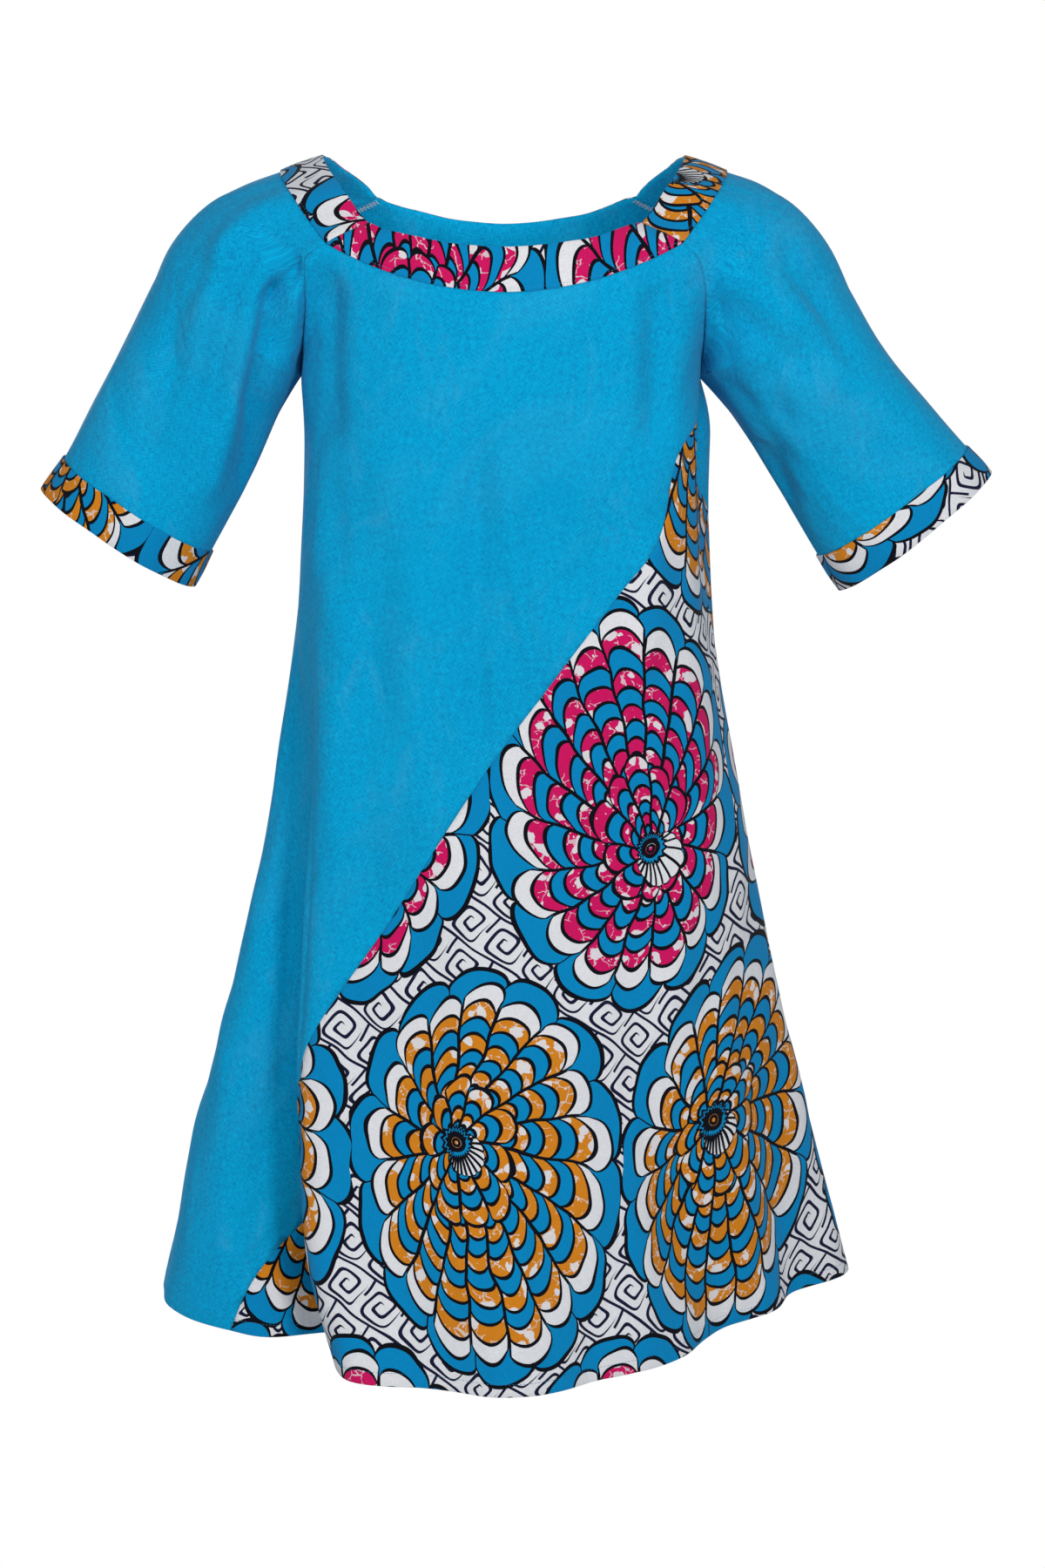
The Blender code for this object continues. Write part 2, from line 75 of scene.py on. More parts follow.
# Rows of the skin
BAND_ROW = 1.0
UNDERARM_ROW = 5.0
FOLDS_ROW = 6.0
HEM_ROW = 11.0
CUFF_ROW = 8.0
SLEEVE_END_ROW = 9.0
PANEL_TOP = 0.0  # the panels run up inside the neckband, just past its fold
BAND_TOP = 0.025
SLEEVE_CLOTH_END = 8.9  # and the sleeves down inside the cuffs
HEM_TURN_ROWS = HEM_TURN / 0.136 / 3  # of one row of the turned hem; a body row is 136 mm there
PRINT_ROWS_ABOVE = 0.2  # a print panel's grid starts this far above its seam
ROW_STEP = 0.04  # of the table that holds a skin
SHARE_STEPS = 400
TRACE_STEPS = 361
SLOPE_STEP = 1e-3
PRINT_START = (0.121, 0.494)  # moves the flowers over the front
EDGE_EASE = 0.035  # folds die away this far from a side seam
CREASE_EASE = 0.012  # and small creases this far
CREASE_ENDS = 0.3  # a crease fades over this share of its length at either end
CREASE_FACING = 0.35  # and where the cloth faces further round than this, as a normal's Y
LEAST_DROP = 0.3  # the flat cut keeps at least this share of a row's drop


class Side(Enum):
    """Front or back of the body, as the sign of Y."""

    FRONT = -1
    BACK = 1


class Hand(Enum):
    """The wearer's right or left, as the sign of X."""

    RIGHT = -1
    LEFT = 1


# ---------------------------------------------------------------- stations of the skin


def table(kind: type, rows: list) -> list:
    """Rows of values as stations, folds, creases or lamps, under the kind's column names."""
    return [kind(*row) for row in rows]


@dataclass(frozen=True)
class EdgeStation:
    """Where the two side edges of the front and back lie in one row of the body."""

    row: float
    right_x: float
    left_x: float
    right_front_y: float
    left_front_y: float
    right_back_y: float
    left_back_y: float
    front_z: float
    back_z: float


BODY_EDGES = table(EdgeStation, [
    # row  right_x left_x | y: right front, left front, right back, left back | z: front, back
    (0.0, 0.105, 0.108, -0.086, -0.086, 0.090, 0.090, -0.040, -0.030),
    (1.0, 0.137, 0.139, -0.100, -0.100, 0.103, 0.103, -0.054, -0.047),
    (2.0, 0.156, 0.154, -0.094, -0.094, 0.098, 0.098, -0.069, -0.064),
    (3.0, 0.156, 0.159, -0.076, -0.078, 0.082, 0.080, -0.098, -0.096),
    (4.0, 0.159, 0.159, -0.046, -0.052, 0.050, 0.044, -0.131, -0.131),
    (5.0, 0.163, 0.157, -0.004, -0.014, -0.004, -0.014, -0.166, -0.166),
    (6.0, 0.160, 0.151, -0.010, -0.056, 0.0, 0.0, -0.218, -0.218),
    (7.0, 0.166, 0.163, -0.008, -0.032, 0.0, 0.0, -0.330, -0.330),
    (8.0, 0.185, 0.187, -0.004, -0.004, 0.0, 0.0, -0.470, -0.470),
    (9.0, 0.216, 0.219, 0.004, 0.004, 0.0, 0.0, -0.640, -0.640),
    (10.0, 0.258, 0.259, 0.014, 0.018, 0.0, 0.0, -0.800, -0.800),
    (11.0, 0.290, 0.295, 0.024, 0.034, 0.0, 0.0, -0.936, -0.936),
])


@dataclass(frozen=True)
class MiddleStation:
    """Where the middle of the front and back lies in one row, and how the row curves to it."""

    row: float
    front_y: float
    front_z: float
    back_y: float
    back_z: float
    square: float  # 2 is an ellipse, and more is squarer
    edge_turn: float  # 1 meets the edge at a slant, and the value of square meets it head on


BODY_MIDDLES = table(MiddleStation, [
    # row  front_y front_z | back_y back_z | square edge_turn
    (0.0, -0.108, -0.057, 0.112, -0.053, 2.4, 1.0),
    (1.0, -0.116, -0.090, 0.118, -0.088, 2.6, 1.0),
    (2.0, -0.118, -0.103, 0.120, -0.102, 2.6, 1.1),
    (3.0, -0.120, -0.124, 0.120, -0.124, 2.6, 1.3),
    (4.0, -0.122, -0.148, 0.118, -0.148, 2.8, 1.9),
    (5.0, -0.123, -0.174, 0.115, -0.174, 3.0, 3.0),
    (6.0, -0.124, -0.225, 0.110, -0.225, 3.0, 3.0),
    (7.0, -0.124, -0.337, 0.108, -0.337, 2.8, 2.8),
    (8.0, -0.128, -0.478, 0.116, -0.478, 2.4, 2.4),
    (9.0, -0.140, -0.652, 0.134, -0.652, 2.0, 2.0),
    (10.0, -0.155, -0.818, 0.156, -0.818, 1.8, 1.8),
    (11.0, -0.170, -0.966, 0.178, -0.966, 1.7, 1.7),
])


@dataclass(frozen=True)
class Fold:
    """A tall soft ridge (depth above 0) or trough (below 0) down one side of the body."""

    across_top: float
    across_foot: float
    sway: float
    row_top: float
    row_full: float
    half_width: float
    depth: float
    lean: float  # how far the cloth is drawn along the row towards +X
    row_gone: float = 0.0  # where it has died away again, if it does


FRONT_FOLDS = table(Fold, [
    # a_top a_foot sway  r_top r_full half_w depth   lean  r_gone
    (0.200, 0.356, -0.050, 6.4, 10.8, 0.040, 0.026, 0.0),  # the tall fold's crest
    (0.200, 0.356, -0.050, 6.4, 9.8, 0.040, 0.0, -0.016, 11.8),  # leans over the trough
    (0.130, 0.256, -0.050, 6.4, 10.8, 0.026, -0.060, 0.0),  # the deep trough beside it
    (0.130, 0.256, -0.050, 6.4, 9.8, 0.026, 0.0, 0.022, 11.8),  # is drawn in under it
    (0.060, 0.110, 0.0, 7.5, 10.8, 0.045, 0.022, 0.0),  # the flap that swings out at the side
    (0.470, 0.500, 0.0, 8.2, 11.0, 0.060, 0.026, 0.0),  # soft fold in the middle
    (0.620, 0.780, 0.0, 8.6, 11.0, 0.050, -0.032, 0.0),  # hollow towards the wearer's left
    (0.900, 0.900, 0.0, 8.8, 11.0, 0.040, -0.030, 0.0),
])
BACK_FOLDS = table(Fold, [
    (0.900, 0.900, 0.0, 4.8, 6.0, 0.050, 0.015, 0.0, 8.2),  # the back rounds past the side seam
    (0.220, 0.260, 0.0, 7.0, 11.0, 0.045, -0.030, 0.0),
    (0.360, 0.400, 0.0, 7.0, 11.0, 0.050, 0.022, 0.0),
    (0.550, 0.580, 0.0, 7.4, 11.0, 0.050, -0.024, 0.0),
    (0.720, 0.740, 0.0, 7.0, 11.0, 0.050, 0.022, 0.0),
    (0.860, 0.900, 0.0, 7.6, 11.0, 0.040, -0.016, 0.0),
])


@dataclass(frozen=True)
class SeamStation:
    """Where the seam between plain and print crosses a row, as a share of the panel's width."""

    row: float
    across: float


FRONT_SEAM = table(SeamStation, [
    (5.5, 1.0),
    (6.0, 0.895),
    (6.5, 0.842),
    (7.0, 0.714),
    (8.0, 0.458),
    (9.0, 0.288),
    (10.0, 0.210),
    (11.0, 0.172),
])
BACK_SEAM = table(SeamStation, [
    (6.25, 1.0),
    (7.0, 0.850),
    (8.0, 0.600),
    (9.0, 0.400),
    (10.0, 0.280),
    (11.0, 0.215),
])


@dataclass(frozen=True)
class SleeveStation:
    """One row of a sleeve: an oval from its top to its underside, half_depth deep each way."""

    row: float
    top_x: float
    top_z: float
    under_x: float
    under_z: float
    half_depth: float


SHOULDER = table(SleeveStation, [
    # row  top_x   top_z   under_x under_z half_depth
    (0.0, 0.1440, 0.0066, 0.016, -0.147, 0.094),
    (1.0, 0.1775, -0.0045, 0.0385, -0.1675, 0.109),
    (2.0, 0.2050, -0.0140, 0.070, -0.160, 0.100),
])
ARM_RIGHT = table(SleeveStation, [
    (3.0, 0.2330, -0.0290, 0.128, -0.134, 0.092),
    (4.0, 0.2560, -0.0510, 0.144, -0.148, 0.086),
    (5.0, 0.2800, -0.0889, 0.163, -0.166, 0.080),
    (6.0, 0.3060, -0.1370, 0.183, -0.196, 0.073),
    (7.0, 0.3330, -0.1870, 0.207, -0.252, 0.065),
    (8.0, 0.3570, -0.2331, 0.2385, -0.3105, 0.058),
    (9.0, 0.3740, -0.2590, 0.2530, -0.3380, 0.055),
])
ARM_LEFT = table(SleeveStation, [
    (3.0, 0.2295, -0.0295, 0.128, -0.134, 0.092),
    (4.0, 0.2510, -0.0530, 0.144, -0.148, 0.086),
    (5.0, 0.2790, -0.0970, 0.159, -0.166, 0.080),
    (6.0, 0.3090, -0.1460, 0.184, -0.196, 0.073),
    (7.0, 0.3440, -0.1880, 0.219, -0.252, 0.065),
    (8.0, 0.3760, -0.2250, 0.2560, -0.3140, 0.058),
    (9.0, 0.3940, -0.2460, 0.2740, -0.3410, 0.055),
])


@dataclass(frozen=True)
class Crease:
    """A small crease or ridge, placed where the cloth hangs, as seen from the front.

    It runs from (x0, z0) to (x1, z1) and bows sideways by bow in the middle.  Depth below 0 is
    a trough.  facing says on which side of the garment it lies.
    """

    x0: float
    z0: float
    x1: float
    z1: float
    bow: float
    half_width: float
    depth: float
    facing: Side = Side.FRONT


FRONT_CREASES = table(Crease, [
    # x0     z0      x1      z1      bow    half_w  depth
    (-0.135, -0.040, -0.141, -0.235, 0.002, 0.016, -0.0130),  # hollow by the right armpit
    (-0.149, -0.160, -0.156, -0.310, -0.003, 0.006, -0.0024),
    (-0.139, -0.180, -0.149, -0.350, 0.004, 0.007, 0.0022),
    (-0.157, -0.215, -0.162, -0.390, 0.003, 0.005, 0.0016),
    (-0.129, -0.240, -0.140, -0.420, -0.003, 0.008, -0.0018),
    (-0.132, -0.290, -0.146, -0.600, -0.002, 0.016, 0.0045),  # crest of the tall fold
    (-0.172, -0.340, -0.193, -0.860, -0.004, 0.017, -0.0120),  # the hollow beside it
    (-0.110, -0.240, -0.116, -0.620, -0.006, 0.020, -0.0050),
    (-0.074, -0.280, -0.050, -0.600, 0.004, 0.022, 0.0048),
    (-0.057, -0.350, -0.042, -0.500, 0.001, 0.006, -0.0015),
    (-0.020, -0.165, -0.018, -0.500, 0.002, 0.011, -0.0060),
    (-0.002, -0.185, 0.034, -0.450, 0.004, 0.010, 0.0055),
    (0.040, -0.250, 0.075, -0.520, -0.004, 0.020, -0.0040),
    (0.098, -0.095, 0.112, -0.200, 0.004, 0.018, 0.0035),
    (0.124, -0.055, 0.123, -0.230, 0.003, 0.015, -0.0090),
    (0.125, -0.260, 0.110, -0.420, 0.004, 0.014, 0.0030),
    (0.060, -0.360, 0.100, -0.700, -0.006, 0.022, -0.0040),
    (0.020, -0.600, 0.040, -0.920, 0.006, 0.020, -0.0045),
    (0.130, -0.560, 0.170, -0.900, 0.004, 0.020, 0.0050),
])
BACK_CREASES = table(Crease, [
    (0.129, -0.075, 0.121, -0.210, 0.004, 0.013, -0.0060, Side.BACK),
    (-0.131, -0.080, -0.120, -0.220, -0.004, 0.013, -0.0060, Side.BACK),
    (0.100, -0.150, 0.075, -0.330, 0.006, 0.015, -0.0045, Side.BACK),
    (-0.095, -0.150, -0.080, -0.310, -0.006, 0.014, -0.0040, Side.BACK),
    (-0.050, -0.220, -0.060, -0.560, 0.005, 0.018, -0.0045, Side.BACK),
    (-0.020, -0.200, -0.010, -0.470, 0.003, 0.011, 0.0034, Side.BACK),
    (0.030, -0.260, 0.045, -0.620, -0.004, 0.022, 0.0045, Side.BACK),
    (0.095, -0.420, 0.120, -0.800, 0.005, 0.020, -0.0045, Side.BACK),
    (-0.130, -0.460, -0.160, -0.860, -0.005, 0.020, 0.0050, Side.BACK),
])
RIGHT_SLEEVE_CREASES = table(Crease, [
    (-0.144, -0.054, -0.196, -0.108, -0.004, 0.0065, -0.0110),  # the deep one by the seam
    (-0.176, -0.060, -0.207, -0.210, -0.003, 0.0080, -0.0130),
    (-0.158, -0.072, -0.172, -0.165, 0.002, 0.0080, 0.0055),
    (-0.186, -0.165, -0.214, -0.270, 0.003, 0.0100, -0.0070),
    (-0.164, -0.018, -0.236, -0.080, 0.004, 0.0110, 0.0060),
    (-0.189, -0.040, -0.220, -0.125, 0.004, 0.0085, -0.0055),
    (-0.186, -0.020, -0.262, -0.165, 0.006, 0.0153, 0.0060),
    (-0.207, -0.085, -0.236, -0.215, 0.004, 0.0119, -0.0090),
    (-0.222, -0.060, -0.280, -0.170, 0.006, 0.0102, -0.0053),
    (-0.240, -0.100, -0.290, -0.262, 0.006, 0.0119, -0.0075),
    (-0.215, -0.160, -0.245, -0.275, -0.004, 0.0110, 0.0067),
    (-0.190, -0.050, -0.215, -0.170, 0.004, 0.0085, -0.0090, Side.BACK),
    (-0.222, -0.060, -0.260, -0.160, -0.004, 0.0119, 0.0067, Side.BACK),
    (-0.235, -0.090, -0.290, -0.240, 0.006, 0.0127, -0.0075, Side.BACK),
    (-0.215, -0.150, -0.250, -0.270, 0.004, 0.0119, 0.0067, Side.BACK),
])
LEFT_SLEEVE_CREASES = table(Crease, [
    (0.160, -0.065, 0.180, -0.140, 0.003, 0.0076, -0.0045),
    (0.166, -0.158, 0.208, -0.192, 0.003, 0.0065, -0.0030),
    (0.160, -0.060, 0.262, -0.136, -0.004, 0.0140, 0.0060),
    (0.158, -0.092, 0.248, -0.170, -0.003, 0.0130, -0.0060),
    (0.215, -0.045, 0.262, -0.120, 0.003, 0.0102, -0.0060),
    (0.240, -0.062, 0.286, -0.165, 0.004, 0.0085, -0.0060),
    (0.205, -0.140, 0.232, -0.215, 0.003, 0.0102, -0.0053),
    (0.208, -0.206, 0.236, -0.280, 0.003, 0.0102, -0.0067),
    (0.255, -0.160, 0.330, -0.255, 0.004, 0.0153, -0.0060),
    (0.190, -0.060, 0.215, -0.165, -0.004, 0.0085, -0.0083, Side.BACK),
    (0.245, -0.100, 0.305, -0.230, -0.006, 0.0127, -0.0075, Side.BACK),
    (0.215, -0.165, 0.270, -0.270, 0.004, 0.0119, 0.0067, Side.BACK),
])


def smooth_columns(stations: list, rows: np.ndarray) -> np.ndarray:
    """Every column of a station table at the given rows, as a curve that never overshoots.

    Args:
        stations: the table, whose first column is the row.
        rows: the rows wanted.

    Returns:
        One line of values for each row wanted.
    """
    data = np.array([astuple(station) for station in stations])
    at, values = data[:, 0], data[:, 1:]
    slope = np.diff(values, axis=0) / np.diff(at)[:, None]
    tangent = np.zeros_like(values)
    tangent[0], tangent[-1] = slope[0], slope[-1]
    product = slope[:-1] * slope[1:]
    rising = product > 0
    total = np.where(rising, slope[:-1] + slope[1:], 1.0)
    tangent[1:-1] = np.where(rising, 2 * product / total, 0.0)
    low = np.clip(np.searchsorted(at, rows, side="right") - 1, 0, len(at) - 2)
    width = (at[low + 1] - at[low])[:, None]
    share = (rows - at[low])[:, None] / width
    return (
        values[low] * (1 + 2 * share) * (1 - share) ** 2
        + values[low + 1] * share**2 * (3 - 2 * share)
        + tangent[low] * width * share * (1 - share) ** 2
        + tangent[low + 1] * width * share**2 * (share - 1)
    )


def station_at(stations: list, row: float) -> object:
    """A station of the table's own kind, at any row."""
    kind = type(stations[0])
    names = [item.name for item in fields(kind)][1:]
    values = smooth_columns(stations, np.array([row]))[0]
    return kind(row, **dict(zip(names, values)))


def ease(share: np.ndarray) -> np.ndarray:
    """0 to 1 with level ends."""
    share = np.clip(share, 0.0, 1.0)
    return share * share * (3 - 2 * share)


def power(value: np.ndarray, exponent: float) -> np.ndarray:
    """A power that keeps the sign."""
    return np.sign(value) * np.abs(value) ** exponent


def unit(vectors: np.ndarray) -> np.ndarray:
    """Vectors of length one along the last axis."""
    return vectors / np.maximum(np.linalg.norm(vectors, axis=-1, keepdims=True), 1e-12)


def run_along(points: np.ndarray) -> np.ndarray:
    """The distance run at each point of a line."""
    return np.concatenate([[0.0], np.cumsum(np.linalg.norm(np.diff(points, axis=0), axis=1))])


def read_along(places: np.ndarray, run: np.ndarray, values: tuple) -> np.ndarray:
    """Several values of a line at some distances along it, one column for each value."""
    return np.stack([np.interp(places, run, value) for value in values], axis=-1)


def body_row(row: float, side: Side, across: np.ndarray) -> np.ndarray:
    """Points of one body row.

    Args:
        row: the row.
        side: front or back.
        across: shares of the row's length, 0 at the -X edge and 1 at the +X edge.

    Returns:
        One point for each share.
    """
    edges, middle = station_at(BODY_EDGES, row), station_at(BODY_MIDDLES, row)
    edge_z, middle_y, middle_z = edges.back_z, middle.back_y, middle.back_z
    right_y, left_y = edges.right_back_y, edges.left_back_y
    if side is Side.FRONT:
        edge_z, middle_y, middle_z = edges.front_z, middle.front_y, middle.front_z
    if side is Side.FRONT or row >= UNDERARM_ROW:  # below the underarm both sides meet
        right_y, left_y = edges.right_front_y, edges.left_front_y
    turn = np.linspace(0.0, pi, TRACE_STEPS)
    reach = -power(np.cos(turn), 2 / middle.square)
    bulge = (1 - np.abs(reach) ** middle.square).clip(0) ** (1 / middle.edge_turn)
    edge_y = np.where(reach < 0, right_y, left_y)
    x = np.where(reach < 0, reach * edges.right_x, reach * edges.left_x)
    y = edge_y + (middle_y - edge_y) * bulge
    z = edge_z + (middle_z - edge_z) * (1 - reach**2)
    run = run_along(np.stack([x, y], axis=1))
    wanted = np.asarray(across) * run[-1]
    base = read_along(wanted, run, (x, y, z))
    along = unit(read_along(wanted + SLOPE_STEP, run, (x, y))
                 - read_along(wanted - SLOPE_STEP, run, (x, y)))
    outward = np.stack([along[:, 1], -along[:, 0]], axis=1) * -side.value
    for fold in FRONT_FOLDS if side is Side.FRONT else BACK_FOLDS:
        depth, lean = fold_at(fold, row, wanted, run[-1])
        base[:, :2] += outward * depth[:, None] + along * lean[:, None]
    return base


def fold_at(fold: Fold, row: float, run: np.ndarray, length: float) -> tuple:
    """How far one tall fold moves the cloth outwards and along its row.

    Args:
        fold: the fold.
        row: the row.
        run: places along the row, in metres from its -X edge.
        length: the row's whole length.

    Returns:
        The move outwards and the move along the row.
    """
    grown = ease((row - fold.row_top) / (fold.row_full - fold.row_top))
    if fold.row_gone:
        grown = grown * (1 - ease((row - fold.row_full) / (fold.row_gone - fold.row_full)))
    down = np.clip((row - FOLDS_ROW) / (HEM_ROW - FOLDS_ROW), 0.0, 1.0)
    across = fold.across_top + (fold.across_foot - fold.across_top) * down
    across = across + fold.sway * 4 * down * (1 - down)
    shape = np.exp(-(((run - length * across) / fold.half_width) ** 2))
    edge = ease(np.minimum(run, length - run) / EDGE_EASE)
    return fold.depth * grown * shape * edge, fold.lean * grown * shape * edge


def sleeve_row(row: float, hand: Hand, around: np.ndarray) -> np.ndarray:
    """Points of one sleeve row, open down to the underarm and closed below it.

    Args:
        row: the row.
        hand: which sleeve.
        around: shares from 0 at the front seam, over the top, to 1 at the back seam.

    Returns:
        One point for each share.
    """
    mirror = (hand.value, 1, 1)
    place = station_at(SHOULDER + (ARM_LEFT if hand is Hand.LEFT else ARM_RIGHT), row)
    top = np.array([place.top_x, 0.0, place.top_z])
    under = np.array([place.under_x, 0.0, place.under_z])
    middle, half = (top + under) / 2, (top - under) / 2
    fade = np.clip(UNDERARM_ROW + 1 - row, 0.0, 1.0)
    end = np.array([1.0 if hand is Hand.LEFT else 0.0])
    front, back = [
        body_row(min(row, UNDERARM_ROW), side, end)[0] * mirror for side in (Side.FRONT, Side.BACK)
    ]
    turns = [oval_turn(point, middle, half, place.half_depth) for point in (front, back)]
    turns[1] -= 2 * pi if turns[1] > 0 else 0.0
    if row >= UNDERARM_ROW:
        turns = [pi - (pi - turns[0]) * fade, (turns[1] + pi) * fade - pi]
        front = back = under + (front - under) * fade
    share = np.asarray(around, dtype=float)
    turn = turns[0] + (turns[1] - turns[0]) * share
    points = middle + np.outer(np.cos(turn), half)
    points[:, 1] -= place.half_depth * np.sin(turn)
    first, last = points[0].copy(), points[-1].copy()
    if fade > 0:
        points += np.outer((1 - share) ** 3, front - first) + np.outer(share**3, back - last)
    return points * mirror


def oval_turn(point: np.ndarray, middle: np.ndarray, half: np.ndarray, depth: float) -> float:
    """The angle from an oval's top at which a point lies nearest, positive to the front."""
    along = np.dot(point - middle, half) / np.dot(half, half)
    return float(np.arctan2(-point[1] / depth, along))


# ---------------------------------------------------------------- skins


@dataclass(frozen=True)
class Wave:
    """A faint wave that hangs down the cloth."""

    across: float  # crests per metre
    down: float
    phase: float
    depth: float


WAVES = table(Wave, [
    # across down phase depth
    (11.0, 1.3, 0.4, 0.00090),
    (17.0, -2.1, 2.2, 0.00060),
    (7.0, 3.4, 4.0, 0.00100),
    (26.0, 4.6, 1.1, 0.00030),
    (5.0, -6.0, 5.3, 0.00060),
])
WAVE_BEND = 0.8  # a wave wanders by this much of a turn, in radians,
WAVE_BENDS = 3.1  # this many times a metre


@dataclass
class Skin:
    """A stretch of cloth as a table of rows and shares, with its cut laid flat.

    points and normals lie in space, cut is the same cloth laid flat (u across, v up), and edge
    is the distance to the nearer seam.
    """

    trace: Callable  # one row's points at the given shares
    last_row: float
    outward: float  # the sign that turns the table's own normal outwards
    creases: list

    def __post_init__(self) -> None:
        """Trace the rows, lay them flat and press the creases in."""
        self.rows = np.linspace(0.0, self.last_row, round(self.last_row / ROW_STEP) + 1)
        self.shares = np.linspace(0.0, 1.0, SHARE_STEPS + 1)
        self.points = np.stack([self.trace(row, self.shares) for row in self.rows])
        self.lay_flat()
        self.normals = self.own_normals()
        self.crease()
        self.normals = self.own_normals()
        self.downs = unit(np.gradient(self.points, axis=0))

    def own_normals(self) -> np.ndarray:
        """Outward normals from the table's own slopes."""
        down, across = np.gradient(self.points, axis=(0, 1))
        return unit(np.cross(across, down)) * self.outward

    def lay_flat(self) -> None:
        """Lay the cloth flat: true lengths across, and down each column what is left."""
        run = np.stack([run_along(line) for line in self.points])
        across = run - run[:, SHARE_STEPS // 2][:, None]
        drop = np.linalg.norm(np.diff(self.points, axis=0), axis=2)
        slip = np.diff(across, axis=0)
        down = np.sqrt(np.maximum(drop**2 - slip**2, (LEAST_DROP * drop) ** 2))
        height = self.points[0, :, 2] - np.pad(np.cumsum(down, axis=0), ((1, 0), (0, 0)))
        self.cut = np.stack([across, height], axis=2)
        self.edge = np.minimum(run, run[:, -1:] - run)

    def crease(self) -> None:
        """Move the skin along its normals by every crease and wave, but not at the seams."""
        x, z = self.points[..., 0], self.points[..., 2]
        move = self.undulation()
        for item in self.creases:
            chord = np.array([item.x1 - item.x0, item.z1 - item.z0])
            length = np.hypot(*chord)
            along = ((x - item.x0) * chord[0] + (z - item.z0) * chord[1]) / length**2
            aside = ((x - item.x0) * chord[1] - (z - item.z0) * chord[0]) / length
            aside -= item.bow * 4 * along * (1 - along)
            ends = ease(along / CREASE_ENDS) * ease((1 - along) / CREASE_ENDS)
            facing = ease(self.normals[..., 1] * item.facing.value / CREASE_FACING)
            move += item.depth * np.exp(-((aside / item.half_width) ** 2)) * ends * facing
        move *= ease(self.edge / CREASE_EASE)
        self.points = self.points + self.normals * move[..., None]

    def undulation(self) -> np.ndarray:
        """Faint uneven waves that hang down the cloth, under a millimetre deep."""
        u, v = self.cut[..., 0], self.cut[..., 1]
        total = np.zeros_like(u)
        for wave in WAVES:
            bend = WAVE_BEND * np.sin(2 * pi * WAVE_BENDS * v + wave.phase)
            turn = 2 * pi * (wave.across * u + wave.down * v)
            total += wave.depth * np.sin(turn + wave.phase + bend)
        return total

    def at(self, rows: np.ndarray, shares: np.ndarray, values: np.ndarray) -> np.ndarray:
        """Values of a table between its rows and columns.

        Args:
            rows: the row of each wanted place.
            shares: its share of the row.
            values: the table to read, such as cut or edge.

        Returns:
            One value for each place.
        """
        down = np.clip(np.asarray(rows) / self.last_row, 0, 1) * (len(self.rows) - 1)
        over = np.clip(np.asarray(shares), 0, 1) * SHARE_STEPS
        i = np.minimum(down.astype(int), len(self.rows) - 2)
        j = np.minimum(over.astype(int), SHARE_STEPS - 1)
        a, b = down - i, over - j
        if values.ndim == 3:
            a, b = a[:, None], b[:, None]
        upper = values[i, j] * (1 - b) + values[i, j + 1] * b
        lower = values[i + 1, j] * (1 - b) + values[i + 1, j + 1] * b
        return upper * (1 - a) + lower * a

    def stand(self, rows: np.ndarray, shares: np.ndarray) -> tuple:
        """The points at some places, and the ways outwards and down the cloth there."""
        tables = (self.points, self.normals, self.downs)
        points, normals, downs = [self.at(rows, shares, values) for values in tables]
        return points, unit(normals), unit(downs)

    def near_seam(self, rows: np.ndarray, shares: np.ndarray) -> np.ndarray:
        """1 at a seam, falling to 0 away from it."""
        return np.exp(-((self.at(rows, shares, self.edge) / SEAM_WIDTH) ** 2))


def join_normals(first: Skin, first_share: int, second: Skin, second_share: int, top: float,
                 foot: float) -> None:
    """Give two skins one normal along the seam that they share.

    Args:
        first: a skin.
        first_share: 0 or -1, the column that is its seam.
        second: the skin that it is sewn to.
        second_share: 0 or -1, the column that is its seam.
        top: the row where the seam starts.
        foot: the row where it ends.
    """
    rows = slice(round(top / ROW_STEP), round(foot / ROW_STEP) + 1)
    shared = unit(first.normals[rows, first_share] + second.normals[rows, second_share])
    first_half = np.arange(SHARE_STEPS + 1) < SHARE_STEPS // 2
    for skin, share in ((first, first_share), (second, second_share)):
        here = first_half if share == 0 else first_half[::-1]
        near = np.exp(-((skin.edge[rows] / JOIN_WIDTH) ** 2)) * here
        mixed = skin.normals[rows] * (1 - near[..., None]) + shared[:, None] * near[..., None]
        skin.normals[rows] = unit(mixed)


# ---------------------------------------------------------------- shader fields and groups


VECTOR, COLOUR, NUMBER = "NodeSocketVector", "NodeSocketColor", "NodeSocketFloat"


def linear(red: int, green: int, blue: int) -> tuple:
    """A screen colour, 0 to 255 each, as the linear RGBA that shaders take."""
    parts = [value / 255 for value in (red, green, blue)]
    return (*[p / 12.92 if p <= 0.04045 else ((p + 0.055) / 1.055) ** 2.4 for p in parts], 1.0)


def plug(value: object, socket: bpy.types.NodeSocket) -> None:
    """Link a field or a socket to an input, or set the input to a plain value."""
    if isinstance(value, Field):
        value = value.socket
    if isinstance(value, bpy.types.NodeSocket):
        socket.id_data.links.new(value, socket)
    else:
        socket.default_value = value


def add(tree: bpy.types.NodeTree, kind: str, inputs: dict, **settings: object) -> bpy.types.Node:
    """Add a shader node.

    Args:
        tree: the node tree.
        kind: the end of the node's type, such as TexNoise.
        inputs: a field, socket or plain value for each input, by its name or number.
        settings: the node's own settings.

    Returns:
        The node.
    """
    node = tree.nodes.new("ShaderNode" + kind)
    for name, value in settings.items():
        setattr(node, name, value)
    for name, value in inputs.items():
        plug(value, node.inputs[name])
    return node


